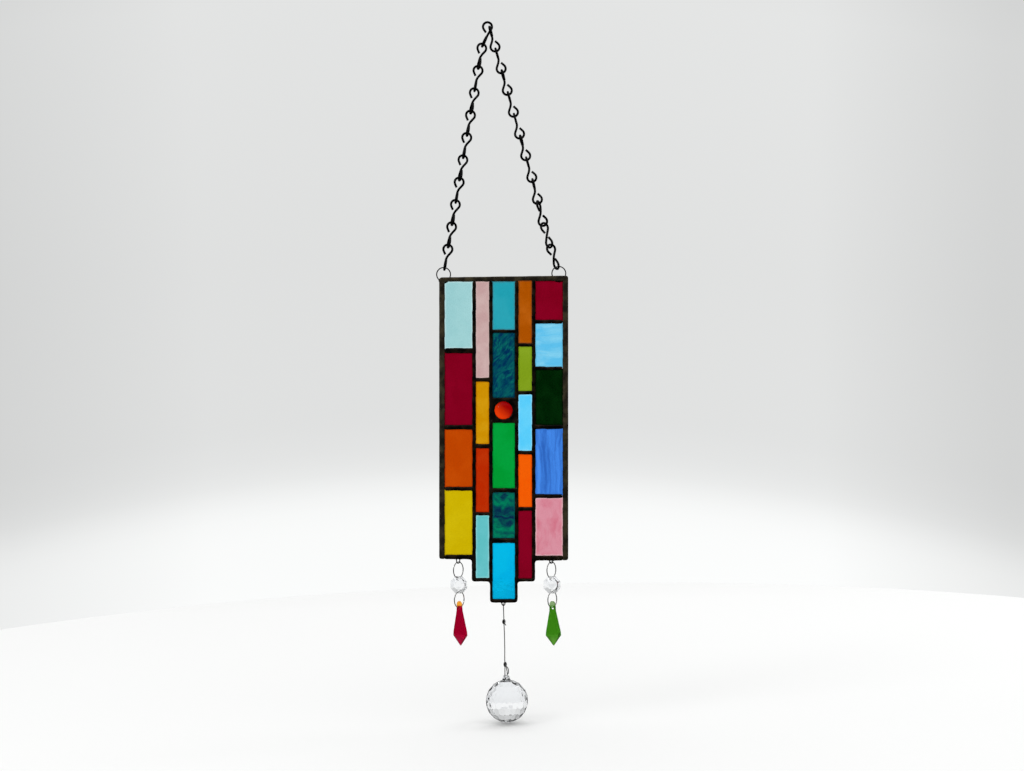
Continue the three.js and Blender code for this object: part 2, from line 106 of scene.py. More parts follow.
# %% [markdown]
# ## Camera
#
# The piece is seen square on from about 1.3 m, as a hung panel is looked at, through a slightly long lens.
# The camera leans by the same 1.8 degrees, so the panel stands upright in the picture.

# %% Camera
VIEW_DISTANCE = 1.28
VIEW_WIDTH = 1024 * 0.85 * MM              # what the picture takes in, at the panel
VIEW_CENTRE = hung_point(20.9 * MM, -305.7 * MM, PANEL_CORNER.y)

camera_data = bpy.data.cameras.new("camera")
camera_data.sensor_width = 36
camera_data.lens = camera_data.sensor_width * VIEW_DISTANCE / VIEW_WIDTH
camera = bpy.data.objects.new("camera", camera_data)
camera.matrix_world = (
    Matrix.Translation(VIEW_CENTRE - Vector((0, VIEW_DISTANCE, 0)))
    @ TILT_4 @ Matrix.Rotation(math.pi / 2, 4, "X"))
bpy.context.scene.collection.objects.link(camera)
bpy.context.scene.camera = camera
print(f"a {camera_data.lens:.0f} mm lens, {VIEW_DISTANCE} m away")

# %% [markdown]
# ## Helpers for nodes
#
# Materials and Geometry Nodes are both trees of nodes. One helper adds a node and fills its sockets, with a
# plain value or with a link from another node, which keeps every tree below short enough to read.

# %% Node helpers


def add_node(tree, kind, inputs=None, **settings):
    """A new node. An input takes a plain value, a socket, or a node, which stands for its first output."""
    made = tree.nodes.new(kind)
    for name, value in settings.items():
        setattr(made, name, value)
    for name, value in (inputs or {}).items():
        source = value.outputs[0] if isinstance(value, bpy.types.Node) else value
        if isinstance(source, bpy.types.NodeSocket):
            tree.links.new(source, made.inputs[name])
        else:
            made.inputs[name].default_value = source
    return made


def math_node(tree, operation, first, second=0.0):
    return add_node(tree, "ShaderNodeMath", {0: first, 1: second}, operation=operation).outputs[0]


def plus(tree, first, second):
    return math_node(tree, "ADD", first, second)


def minus(tree, first, second):
    return math_node(tree, "SUBTRACT", first, second)


def times(tree, first, second):
    return math_node(tree, "MULTIPLY", first, second)


def vector_node(tree, operation, inputs):
    return add_node(tree, "ShaderNodeVectorMath", inputs, operation=operation).outputs[0]


def noise_node(tree, place, scale, detail, **more):
    """Smooth noise about 0.5. Its fourth coordinate, W, serves as a seed."""
    inputs = {"Vector": place, "Scale": scale, "Detail": detail, **more}
    return add_node(tree, "ShaderNodeTexNoise", inputs, noise_dimensions="4D" if "W" in more else "3D")


def mix_colours(tree, factor, first, second, blend="MIX"):
    """A colour between two, each of them a socket or a colour."""
    inputs = {0: factor, 6: first, 7: second}
    return add_node(tree, "ShaderNodeMix", inputs, data_type="RGBA", blend_type=blend).outputs[2]


def rescale(tree, value, from_low, from_high, to_low=0.0, to_high=1.0, smooth=False):
    return add_node(tree, "ShaderNodeMapRange", {
        "Value": value, "From Min": from_low, "From Max": from_high, "To Min": to_low, "To Max": to_high},
        interpolation_type="SMOOTHSTEP" if smooth else "LINEAR").outputs[0]


def new_group(name, kind, inputs, outputs):
    """An empty node group with named sockets, and the sockets as seen from inside."""
    group = bpy.data.node_groups.new(name, kind)
    for in_out, sockets in (("INPUT", inputs), ("OUTPUT", outputs)):
        for socket_name, socket_type in sockets.items():
            group.interface.new_socket(socket_name, in_out=in_out, socket_type="NodeSocket" + socket_type)
    start = group.nodes.new("NodeGroupInput").outputs
    end = group.nodes.new("NodeGroupOutput").inputs
    return group, start, end


def new_geometry_tree(name, **inputs):
    """A Geometry Nodes tree: a geometry, the inputs named here and a material go in, a geometry comes out."""
    named = {socket.replace("_", " "): kind for socket, kind in inputs.items()}
    sockets = {"Geometry": "Geometry", **named, "Material": "Material"}
    return new_group(name, "GeometryNodeTree", sockets, {"Geometry": "Geometry"})


def end_tree(tree, start, end, made):
    """The end of every Geometry Nodes tree: what it made becomes plain mesh and takes its material."""
    whole = add_node(tree, "GeometryNodeRealizeInstances", {0: made})
    dressed = add_node(tree, "GeometryNodeSetMaterial", {"Geometry": whole, "Material": start["Material"]})
    tree.links.new(dressed.outputs[0], end[0])
    return tree


def screen_colour(red, green, blue):
    """A colour given as it shows on a screen, 0 to 255, as the linear value that a shader takes."""
    def linear(level):
        level /= 255
        return level / 12.92 if level <= 0.04045 else ((level + 0.055) / 1.055) ** 2.4
    return (linear(red), linear(green), linear(blue), 1.0)


def new_material(name, **plain):
    """A material, its tree, its one shader with the plain values set, and the place on the object."""
    material = bpy.data.materials.new(name)
    material.use_nodes = True
    tree = material.node_tree
    shader = tree.nodes["Principled BSDF"]
    for socket, value in plain.items():
        shader.inputs[socket.replace("_", " ")].default_value = value
    return material, tree, shader, add_node(tree, "ShaderNodeTexCoord").outputs["Object"]


def add_relief(tree, shader, height, strength, distance):
    """Bumps too fine to model, by a height and the distance in metres that it stands for."""
    relief = add_node(tree, "ShaderNodeBump", {"Strength": strength, "Distance": distance, "Height": height})
    tree.links.new(relief.outputs[0], shader.inputs["Normal"])


# %% [markdown]
# ## Helpers for pieces
#
# Every finished piece is a plain mesh with its place in its vertices, and its object sits at the origin. It
# rides on the one body of this part, and the solids that it stands for are hidden. A piece that
# Geometry Nodes make is evaluated once, copied out as a mesh, and its modifier goes with the old object.

# %% Piece helpers
scene_collection = bpy.context.scene.collection


def bare_object(name, data):
    made = bpy.data.objects.new(name, data)
    scene_collection.objects.link(made)
    return made


def mesh_from(name, verts, edges=(), faces=()):
    mesh = bpy.data.meshes.new(name)
    mesh.from_pydata([tuple(v) for v in verts], list(edges), list(faces))
    mesh.update()
    return mesh


def mesh_object(name, verts, edges=(), faces=()):
    return bare_object(name, mesh_from(name, verts, edges, faces))


def line_object(name, points):
    """A line of edges, for Geometry Nodes to sweep a section along."""
    return mesh_object(name, points, [(i, i + 1) for i in range(len(points) - 1)])


def on_circle(radius, step, steps):
    angle = 2 * math.pi * step / steps
    return radius * math.cos(angle), radius * math.sin(angle)


def settle(source, name):
    """Replace an object that has modifiers by one with the plain mesh they end in."""
    graph = bpy.context.evaluated_depsgraph_get()
    mesh = bpy.data.meshes.new_from_object(source.evaluated_get(graph), depsgraph=graph)
    old_mesh = source.data
    bpy.data.objects.remove(source)
    bpy.data.meshes.remove(old_mesh)
    mesh.name = name
    return bare_object(name, mesh)


def with_nodes(source, tree, values):
    """Give an object a Geometry Nodes modifier, with its inputs set by identifier."""
    modifier = source.modifiers.new(tree.name, "NODES")
    modifier.node_group = tree
    for item in tree.interface.items_tree:
        if item.item_type == "SOCKET" and item.in_out == "INPUT" and item.name in values:
            modifier[item.identifier] = values[item.name]
    return source


SHARP_ANGLE = math.radians(50)


def finish_piece(piece, material, replaced, smooth=True):
    """Material, shading, body, and the solids that the piece stands for, which are hidden."""
    if material is not None:
        piece.data.materials.clear()
        piece.data.materials.append(material)
    if smooth:
        piece.data.shade_smooth()
        piece.data.set_sharp_from_angle(angle=SHARP_ANGLE)
    else:
        piece.data.shade_flat()
    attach(piece, "root")
    if replaced:
        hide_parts(*replaced)
    return piece


def triangle_count(piece):
    return sum(len(face.vertices) - 2 for face in piece.data.polygons)


# %% [markdown]
# ## Thread
#
# The ball hangs on black sewing thread. It is tied round the panel's lowest wire loop, runs down through a
# knot to the drilled neck of the ball, and comes back up to a second knot. Nearly all of it shows, and its
# length is the length of this route. The route is a list of points, given from the middle of the wire that
# it is tied to. Real thread is several plies twisted together. Geometry Nodes make them from the
# one centre line: each ply is the line pushed sideways by a small circle that turns as it goes along.

# %% Thread route
THREAD_WIDTH = 0.8 * MM
THREAD_TIE = panel_point(54.4, 278.6)      # the middle of the wire at the bottom of the centre loop
THREAD_ROUTE = [
    (0, 0.9, -12.7), (0, 1.25, -6), (0, 1.45, -0.4), (0, 1.0, 1.05), (0, 0, 1.45), (0, -1.0, 1.05),
    (0, -1.45, -0.4), (0, -1.1, -6), (0, -0.5, -11.5), (0, 0, -14.5), (0.1, 0, -24), (0, 0, -36),
    (-0.3, 0, -46), (-0.3, -0.4, -50.5), (-0.5, -2.9, -57.5), (-0.55, -3.85, -60.4), (-0.4, -3.4, -61.35),
    (-0.15, -2.3, -61.75), (0.45, 0, -61.7), (1.05, 2.3, -61.75), (1.3, 3.4, -61.35), (1.45, 3.85, -60.4),
    (1.35, 3.0, -57.0), (0.5, 1.2, -51.6)]
KNOT_DEPTHS = (-13.9, -50.2)


def curve_through(points, steps):
    """Points along a smooth curve through the ones given, spaced by the square root of distance."""
    ends = [2 * points[0] - points[1], *points, 2 * points[-1] - points[-2]]
    line = []
    for p0, p1, p2, p3 in zip(ends, ends[1:], ends[2:], ends[3:]):
        t1 = (p1 - p0).length ** 0.5
        t2 = t1 + (p2 - p1).length ** 0.5
        t3 = t2 + (p3 - p2).length ** 0.5
        for step in range(steps):
            t = t1 + (t2 - t1) * step / steps
            a1 = p0.lerp(p1, t / t1)
            a2 = p1.lerp(p2, (t - t1) / (t2 - t1))
            a3 = p2.lerp(p3, (t - t2) / (t3 - t2))
            line.append(a1.lerp(a2, t / t2).lerp(a2.lerp(a3, (t - t1) / (t3 - t1)), (t - t1) / (t2 - t1)))
    return [*line, points[-1].copy()]


def line_length(points):
    return sum((b - a).length for a, b in zip(points, points[1:]))


thread_line = curve_through([THREAD_TIE + Vector(point) * MM for point in THREAD_ROUTE], 6)

# %% Twisted thread tree
PLIES, PLY_SIDES = 3, 6
PLY_RADIUS, PLY_OFFSET, LAY = 0.36, 0.15, 3.2      # in widths of the thread
PLY_STEP = 0.3 * MM


def twisted_thread_tree():
    """Plies round a centre line, which together are about as thick as the width given."""
    tree, start, end = new_geometry_tree("twisted_thread", Width="Float", Lay="Float")
    line = add_node(tree, "GeometryNodeMeshToCurve", {"Mesh": start["Geometry"]})
    line = add_node(tree, "GeometryNodeResampleCurve", {"Curve": line, "Length": PLY_STEP}, mode="LENGTH")
    tangent = add_node(tree, "GeometryNodeInputTangent")
    normal = add_node(tree, "GeometryNodeInputNormal")
    side = vector_node(tree, "CROSS_PRODUCT", {0: tangent, 1: normal})
    along = add_node(tree, "GeometryNodeSplineParameter").outputs["Length"]
    turns = math_node(tree, "DIVIDE", along, start["Lay"])
    section = add_node(tree, "GeometryNodeCurvePrimitiveCircle", {
        "Resolution": PLY_SIDES, "Radius": times(tree, start["Width"], PLY_RADIUS)})
    offset_radius = times(tree, start["Width"], PLY_OFFSET)
    joined = add_node(tree, "GeometryNodeJoinGeometry")
    for ply in range(PLIES):
        angle = times(tree, plus(tree, turns, ply / PLIES), 2 * math.pi)
        parts = []
        for direction, wave in ((normal, "COSINE"), (side, "SINE")):
            reach = times(tree, math_node(tree, wave, angle), offset_radius)
            parts.append(vector_node(tree, "SCALE", {0: direction, "Scale": reach}))
        offset = vector_node(tree, "ADD", {0: parts[0], 1: parts[1]})
        moved = add_node(tree, "GeometryNodeSetPosition", {"Geometry": line, "Offset": offset})
        tube = add_node(tree, "GeometryNodeCurveToMesh", {
            "Curve": moved, "Profile Curve": section, "Fill Caps": True})
        tree.links.new(tube.outputs[0], joined.inputs[0])
    return end_tree(tree, start, end, joined)


# %% [markdown]
# Thread is matt and a little fuzzy. Its black is not even: the dye is thinner where the fibres stand out, so
# a fine grain lightens it, and sheen gives the soft edge that cotton has against the light.

# %% Thread material


def thread_material():
    material, tree, shader, place = new_material(
        "black_thread", Roughness=0.85, Sheen_Weight=0.05, Sheen_Roughness=0.5)
    fibres = noise_node(tree, place, 5200.0, 3.0)
    fuzz = rescale(tree, fibres, 0.45, 0.75)
    colour = mix_colours(tree, fuzz, screen_colour(4, 4, 5), screen_colour(16, 16, 18))
    tree.links.new(colour, shader.inputs["Base Color"])
    add_relief(tree, shader, fibres, strength=0.5, distance=0.08 * MM)
    return material


# %% Thread and its knots
thread_tree = twisted_thread_tree()
BLACK_THREAD = thread_material()


def twisted_thread(name, points, width):
    guide = line_object(name + "_line", points)
    with_nodes(guide, thread_tree, {"Width": width, "Lay": LAY * width, "Material": BLACK_THREAD})
    return settle(guide, name)


KNOT_WRAPS, KNOT_STEPS, KNOT_RADIUS, KNOT_HEIGHT = 4, 14, 1.2 * MM, 3.6 * MM
KNOT_END, KNOT_SWELL = 0.55, 0.45          # shares of a knot's radius: at its ends, and added in its middle


def barrel_knot(centre, tail):
    """The line of a knot: wraps that swell in the middle, then a cut tail."""
    points = []
    for i in range(KNOT_WRAPS * KNOT_STEPS + 1):
        share = i / (KNOT_WRAPS * KNOT_STEPS)
        angle = 2 * math.pi * KNOT_WRAPS * share
        swell = KNOT_RADIUS * (KNOT_END + KNOT_SWELL * math.sin(math.pi * share))
        points.append(centre + Vector((
            swell * math.cos(angle), swell * math.sin(angle), KNOT_HEIGHT * (0.5 - share))))
    corners = [points[-1], *(points[-1] + Vector(step) * MM for step in tail)]
    return points[:-1] + curve_through(corners, 6)


thread = twisted_thread("thread_strand", thread_line, THREAD_WIDTH)
KNOT_TAILS = {
    "knot_upper": [(0.5, -0.3, -0.5), (0.9, -0.5, -1.3)],
    "knot_lower": [(0.9, -0.5, -0.4), (1.7, -0.8, -2.0), (1.9, -0.9, -4.2), (1.5, -0.8, -6.2)]}
for (name, tail), depth in zip(KNOT_TAILS.items(), KNOT_DEPTHS):
    line = barrel_knot(THREAD_TIE + Vector((0, 0, depth)) * MM, tail)
    finish_piece(twisted_thread(name, line, THREAD_WIDTH), None, [])
finish_piece(thread, None, ["thread"])
print(f"thread of {PLIES} plies, {triangle_count(thread)} triangles")

# %% [markdown]
# ## Light
#
# Glass is seen by the light behind it, and polished metal by what it mirrors. So the world answers each kind
# of ray in its own way. What is looked at directly or through glass is a pale studio wall that brightens
# towards the table. Matt surfaces get one even light from all round. Mirrored rays meet a dim room, so
# reflections don't wash out the dark glass, and two soft lamps above give the wire and crystal their glints.

# %% World


def brightness_by(tree, place, levels):
    """A ramp of greys. Each level is (place, brightness), with places from -1 to 1."""
    ramp = add_node(tree, "ShaderNodeValToRGB", {0: rescale(tree, place, -1.0, 1.0)})
    stops = ramp.color_ramp.elements
    while len(stops) < len(levels):
        stops.new(0.5)
    for stop, (along, level) in zip(stops, levels):
        stop.position = (along + 1) / 2
        stop.color = (level, level, level, 1)
    return ramp.outputs[0]


# Height of the direction looked in, from -1 straight down to 1 straight up, and the brightness there
WALL = [(-0.13, 0.99), (-0.09, 0.98), (-0.076, 0.955), (-0.066, 0.91), (-0.056, 0.84), (-0.043, 0.79),
        (-0.02, 0.76), (0.09, 0.757), (0.25, 0.785), (0.6, 0.55), (1.0, 0.25)]
THROUGH_GLASS = [(-0.35, 0.90), (-0.15, 0.96), (-0.08, 1.0), (0.1, 1.0), (0.3, 0.72), (0.6, 0.6), (1.0, 0.3)]
MIRRORED = [(-0.2, 0.03), (0.0, 0.006), (0.25, 0.02), (0.7, 0.45), (1.0, 0.6)]
SIDES = [(-0.33, 0.86), (-0.2, 0.98), (0.0, 0.985), (0.2, 1.0), (0.31, 0.86)]
WALL_TINT, EVEN_LIGHT = (0.995, 1.005, 1.0, 1), (1.07, 1.07, 1.07, 1)
RIGHT_DROP, SIDE_DROP, SIDE_DROP_END = 0.045, 0.4, 0.1


def light_world():
    world = bpy.data.worlds.new("studio")
    bpy.context.scene.world = world
    world.use_nodes = True
    tree = world.node_tree
    background = tree.nodes["Background"]
    direction = add_node(tree, "ShaderNodeTexCoord").outputs["Generated"]
    across, _, height = add_node(tree, "ShaderNodeSeparateXYZ", {0: direction}).outputs
    # The sweep of the backdrop is not level: it drops a little to the right, and at both sides
    sag = times(tree, math_node(tree, "MINIMUM", times(tree, across, across), SIDE_DROP_END), SIDE_DROP)
    level = plus(tree, plus(tree, height, times(tree, across, RIGHT_DROP)), sag)
    shade = mix_colours(tree, 1.0, brightness_by(tree, across, SIDES), WALL_TINT, "MULTIPLY")
    wall = mix_colours(tree, 1.0, brightness_by(tree, level, WALL), shade, "MULTIPLY")
    path = add_node(tree, "ShaderNodeLightPath").outputs
    others = mix_colours(tree, path["Is Diffuse Ray"], brightness_by(tree, height, MIRRORED), EVEN_LIGHT)
    inner = mix_colours(tree, path["Is Transmission Ray"], others, brightness_by(tree, level, THROUGH_GLASS))
    tree.links.new(mix_colours(tree, path["Is Camera Ray"], inner, wall), background.inputs["Color"])


def soft_lamp(name, place, size, power):
    data = bpy.data.lights.new(name, "AREA")
    data.size, data.energy = size, power
    lamp = bare_object(name, data)
    towards = centre_of("solder_lattice") - Vector(place)
    lamp.matrix_world = Matrix.Translation(place) @ towards.to_track_quat("-Z", "Y").to_matrix().to_4x4()


light_world()
soft_lamp("soft_lamp_left", (-1.1, -0.7, 0.5), size=0.6, power=3.5)
soft_lamp("soft_lamp_right", (1.2, 0.2, 0.35), size=0.5, power=2.5)
bpy.context.scene.view_settings.view_transform = "Standard"

# %% [markdown]
# The table is a round top under the ball. It is paler towards the back, so that its far edge shows less
# against the wall, and a little darker as seen through glass. It is left out of mirrored light.

# %% Floor
FLOOR_DROP = 1.4 * MM                      # the ball hangs this far above the table
FLOOR_RADIUS, FLOOR_EDGE, FLOOR_RINGS, FLOOR_SIDES = 0.9, 0.012, 6, 64
FLOOR_TONES = (0.885, 0.89, 0.885, 1), (0.915, 0.92, 0.915, 1)
FLOOR_AT_BACK, FLOOR_BACK = (0.99, 0.995, 0.99, 1), 0.7
FLOOR_THROUGH_GLASS = (0.86, 0.865, 0.875, 1)


def floor_material():
    material, tree, shader, place = new_material("pale_table", Roughness=0.6, Specular_IOR_Level=0.1)
    near = mix_colours(tree, noise_node(tree, place, 900.0, 4.0), *FLOOR_TONES)
    behind = rescale(tree, add_node(tree, "ShaderNodeSeparateXYZ", {0: place}).outputs["Y"], 0.0, FLOOR_BACK)
    tone = mix_colours(tree, behind, near, FLOOR_AT_BACK)
    through_glass = add_node(tree, "ShaderNodeLightPath").outputs["Is Transmission Ray"]
    tree.links.new(mix_colours(tree, through_glass, tone, FLOOR_THROUGH_GLASS), shader.inputs["Base Color"])
    return material


def pale_floor():
    """A round table top with a rounded edge, just under the ball."""
    level = CAD_BOX[0].z - FLOOR_DROP
    inner, around = FLOOR_RADIUS - FLOOR_EDGE, FLOOR_SIDES
    bends = [math.pi / 2 * i / FLOOR_RINGS for i in range(1, FLOOR_RINGS + 1)]
    profile = [(inner, 0.0)]
    for bend in bends:
        profile.append((inner + FLOOR_EDGE * math.sin(bend), -FLOOR_EDGE + FLOOR_EDGE * math.cos(bend)))
    verts = [Vector((0, 0, level))]
    for reach, rise in profile:
        verts += [Vector((*on_circle(reach, i, around), level + rise)) for i in range(around)]
    faces = [(0, 1 + i, 1 + (i + 1) % around) for i in range(around)]
    for row in range(len(profile) - 1):
        first = 1 + row * around
        faces += [(first + i, first + around + i, first + around + (i + 1) % around, first + (i + 1) % around)
                  for i in range(around)]
    floor = mesh_object("floor", verts, faces=faces)
    floor.data.materials.append(floor_material())
    floor.data.shade_smooth()
    floor.visible_glossy = False
    floor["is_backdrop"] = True
    return level


print(f"the table is at {pale_floor():.4f} m")

# %% [markdown]
# ## Chain
#
# Single jack chain: each link is one wire bent into two loops, a quarter turn apart, with its cut ends tucked
# back at the neck. The shape of a loop follows from two sizes, the radius of its eye and how far the eye's
# middle is from the neck. The wire leaves the neck on a line that touches the eye, goes round it, and comes
# back most of the way. All the links but the top one are alike, so Geometry Nodes bend one wire and place it
# on a cloud of points, one point for each neck, with its turn kept on the point as an attribute.

# %% The path of a link's wire
FLANK = 0.56                               # how far the cut end comes back to the neck
LINK_REACH = LINK_EYE_CENTRE + LINK_EYE    # from the neck to the wire at either end
TOP_LINK_BEND = math.radians(25)
TOP_SIDES, LINK_SIDES, RING_SIDES = 14, 12, 10


def loop_line(steps=18):
    """One teardrop loop, from the neck round to its cut end, as (across, along) pairs."""
    lean = math.acos(LINK_EYE / LINK_EYE_CENTRE)
    line = [(0.0, 0.0)]
    for i in range(steps + 1):
        angle = -math.pi / 2 + lean + (2 * math.pi - 2 * lean) * i / steps
        line.append((LINK_EYE * math.cos(angle), LINK_EYE_CENTRE + LINK_EYE * math.sin(angle)))
    across, along = line[-1]
    line.append((across * (1 - FLANK), along * (1 - FLANK)))
    return line


def link_line(bend=0.0):
    """The wire of one link about its neck: upper loop facing the room, lower loop edge on to it."""
    upper = [Vector((across, 0, along)) for across, along in reversed(loop_line()[1:])]
    turn = Matrix.Rotation(bend, 3, "Y")
    lower = [turn @ Vector((0, across, -along)) for across, along in loop_line()]
    return round_corners(upper + lower)


def round_corners(points, rounds=2):
    """Cut each corner of a line twice over, which turns sharp bends into smooth ones."""
    for _ in range(rounds):
        cut = [points[0]]
        for a, b in zip(points, points[1:]):
            cut += [a.lerp(b, 0.25), a.lerp(b, 0.75)]
        points = [*cut, points[-1]]
    return points


print(f"one link takes {line_length(link_line()) / MM:.0f} mm of wire")

# %% Where each link hangs
LEFT_LINKS, RIGHT_LINKS = 10, 11
CORNER_RING, CORNER_WIRE = 5.9 * MM, 1.0 * MM
LEFT_TWIST, UNTWIST = math.radians(13), math.radians(23)
RUN_BOW_FROM, RUN_BOW = 0.66, -1.1 * MM
WANDER, WANDER_STEP = math.radians(5), 2.4


def wander(number):
    """Links don't hang quite alike: each is turned a few degrees either way."""
    return WANDER * math.sin(WANDER_STEP * number)


def right_twist(number):
    return math.pi / 2 - UNTWIST * max(0, number - RIGHT_LINKS + 3) + wander(number)


def right_bow(share):
    return RUN_BOW * math.sin(math.pi * max(0, share - RUN_BOW_FROM) / (1 - RUN_BOW_FROM))


def hang_run(start, end, count, twist, bow, held):
    """Neck and turn of each link between two wires. A held run starts in the loop of a link above it."""
    span = (end - start).length
    direction = (end - start) / span
    contacts = (count - 1 + held) * LINK_WIRE + (LINK_WIRE + CORNER_WIRE) / 2
    gap = (count * 2 * LINK_REACH - span - contacts) / (count + held)
    overlap = LINK_WIRE + gap
    across = Vector((0, 1, 0)).cross(-direction)
    upright = Matrix((across, (0, 1, 0), -direction)).transposed()
    links = []
    for i in range(count):
        reach = LINK_REACH + i * (2 * LINK_REACH - overlap) - held * overlap
        bows = [bow((reach + side * LINK_REACH) / span) for side in (-1, 0, 1)]
        slope = Matrix.Rotation(math.atan((bows[0] - bows[2]) / 2 / LINK_REACH), 3, "Y")
        neck = start + direction * reach + across * bows[1]
        turn = TILT @ upright @ slope @ Matrix.Rotation(twist(i + 1), 3, "Z")
        links.append((HOOK_EYE + TILT @ neck, turn))
    return links


def ring_pull(centre, start):
    return centre + (start - centre).normalized() * CORNER_RING


top_neck = Vector((0, 0, -LINK_EYE_CENTRE))
left_start = top_neck - LINK_REACH * Vector((math.sin(TOP_LINK_BEND), 0, math.cos(TOP_LINK_BEND)))
right_start = Vector((1.6, 0, -0.05)) * MM
left_ring, right_ring = Vector((-37.4, 0, -211.1)) * MM, Vector((60.8, 0, -210.2)) * MM
left_run = hang_run(left_start, ring_pull(left_ring, left_start), LEFT_LINKS,
                    lambda number: LEFT_TWIST + wander(number), lambda share: 0.0, 1)
right_run = hang_run(right_start, ring_pull(right_ring, right_start), RIGHT_LINKS, right_twist, right_bow, 0)
left_names = [f"link_left_{i + 1:02d}" for i in range(LEFT_LINKS)]
right_names = [f"link_right_{i + 1:02d}" for i in range(RIGHT_LINKS)]
misses = [(centre_of(name) - neck).length for name, (neck, turn) in
          zip(left_names + right_names, left_run + right_run)]
print(f"necks are {min(misses) / MM:.1f} to {max(misses) / MM:.1f} mm from the middles of the solid links")

# %% Wire links tree


def bent_wire_tree():
    """Sweep a round wire along a line of edges, and place it on each point by the point's own turn."""
    tree, start, end = new_geometry_tree("wire_links", Wire_line="Object", Wire="Float", Sides="Int")
    info = add_node(tree, "GeometryNodeObjectInfo", {"Object": start["Wire line"]})
    line = add_node(tree, "GeometryNodeMeshToCurve", {"Mesh": info.outputs["Geometry"]})
    section = add_node(tree, "GeometryNodeCurvePrimitiveCircle", {
        "Resolution": start["Sides"], "Radius": times(tree, start["Wire"], 0.5)})
    wire = add_node(tree, "GeometryNodeCurveToMesh", {
        "Curve": line, "Profile Curve": section, "Fill Caps": True})
    turn = add_node(tree, "GeometryNodeInputNamedAttribute", {"Name": "turn"}, data_type="QUATERNION")
    placed = add_node(tree, "GeometryNodeInstanceOnPoints", {
        "Points": start["Geometry"], "Instance": wire, "Rotation": turn})
    return end_tree(tree, start, end, placed)


wire_tree = bent_wire_tree()


def place_wire(name, line, places, wire, material, replaced, sides=RING_SIDES):
    """A piece of bent wires: one line of wire, and the place and turn of each copy."""
    guide = line_object(name + "_line", line)
    points = mesh_from(name, [place for place, _ in places])
    turns = points.attributes.new("turn", "QUATERNION", "POINT")
    for item, (_, turn) in zip(turns.data, places):
        item.value = turn.to_quaternion()
    holder = with_nodes(bare_object(name + "_points", points), wire_tree, {
        "Wire line": guide, "Wire": wire, "Sides": sides, "Material": material})
    piece = settle(holder, name)
    bpy.data.objects.remove(guide)
    return finish_piece(piece, None, replaced)


# %% [markdown]
# The chain is iron wire with a black finish. Where links rub, the black has gone and grey metal shows through
# in specks, so the same wear is used on every black wire of this piece. That effect is a node group: it gives
# a mask of worn specks and a fine bump, and each material sets its own size and amount.

# %% Wear group and black wire material
BROAD_SHARE, FINE_SHARE = 0.4, 0.6         # how much each noise counts towards a worn speck
UNWORN_LEVEL, WEAR_REACH, SPECK_EDGE = 0.74, 0.3, 0.05


def wear_group():
    group, start, end = new_group("wear", "ShaderNodeTree", {
        "Vector": "Vector", "Speck Scale": "Float", "Amount": "Float"},
        {"Worn": "Float", "Mottle": "Float", "Height": "Float"})
    broad = noise_node(group, start["Vector"], 140.0, 4.0)
    fine = noise_node(group, start["Vector"], start["Speck Scale"], 5.0, Roughness=0.65)
    mixed = plus(group, times(group, broad, BROAD_SHARE), times(group, fine, FINE_SHARE))
    edge = minus(group, UNWORN_LEVEL, times(group, start["Amount"], WEAR_REACH))
    group.links.new(rescale(group, mixed, edge, plus(group, edge, SPECK_EDGE)), end["Worn"])
    group.links.new(broad.outputs[0], end["Mottle"])
    group.links.new(fine.outputs[0], end["Height"])
    return group


WEAR = wear_group()


def worn_metal(name, colours, amount, speck_scale, roughness, bump, metallic=0.85):
    """Dark metal that mottles towards a middle colour and shows bright specks where it is worn."""
    material, tree, shader, place = new_material(name, Metallic=metallic)
    dark, mid, bright = [screen_colour(*colour) for colour in colours]
    wear = add_node(tree, "ShaderNodeGroup", node_tree=WEAR)
    tree.links.new(place, wear.inputs["Vector"])
    wear.inputs["Speck Scale"].default_value = speck_scale
    wear.inputs["Amount"].default_value = amount
    base = mix_colours(tree, rescale(tree, wear.outputs["Mottle"], 0.35, 0.68, smooth=True), dark, mid)
    tree.links.new(mix_colours(tree, wear.outputs["Worn"], base, bright), shader.inputs["Base Color"])
    rough = rescale(tree, wear.outputs["Mottle"], 0.3, 0.7, roughness - 0.1, roughness + 0.12)
    tree.links.new(rough, shader.inputs["Roughness"])
    add_relief(tree, shader, wear.outputs["Height"], strength=0.6, distance=bump)
    return material


BLACK_WIRE = worn_metal("black_wire", ((10, 10, 11), (26, 26, 28), (120, 120, 122)),
                        amount=0.22, speck_scale=1500.0, roughness=0.42, bump=0.03 * MM)

# %% Chain pieces
top_place = (HOOK_EYE + TILT @ top_neck, TILT)
place_wire("chain_top_link", link_line(TOP_LINK_BEND), [top_place], LINK_WIRE, BLACK_WIRE,
           ["link_top"], sides=TOP_SIDES)
for side, run, names in (("left", left_run, left_names), ("right", right_run, right_names)):
    chain = place_wire(f"chain_{side}", link_line(), run, LINK_WIRE, BLACK_WIRE, names,
                       sides=LINK_SIDES)
    print(f"{chain.name}: {len(run)} links, {triangle_count(chain)} triangles")

# %% [markdown]
# ## Rings
#
# Two black jump rings tie the chain to the panel's top corners. Four silver ones join the wire loops, the
# crystal beads and the drops. A jump ring is a nearly closed turn of wire: the butt of its two cut ends shows
# as a fine line. The same bent wire tree makes them, from a line round most of a circle.

# %% Jump rings
PENDANT_RING, PENDANT_WIRE = 6.8 * MM, 0.8 * MM
BUTT_GAP = math.radians(1.6)


def ring_line(radius, start, steps=56):
    """Round a ring from one side of its butt to the other, standing in the XZ plane."""
    sweep = 2 * math.pi - BUTT_GAP
    angles = [start + BUTT_GAP / 2 + sweep * i / steps for i in range(steps + 1)]
    return [Vector((radius * math.cos(angle), 0, radius * math.sin(angle))) for angle in angles]


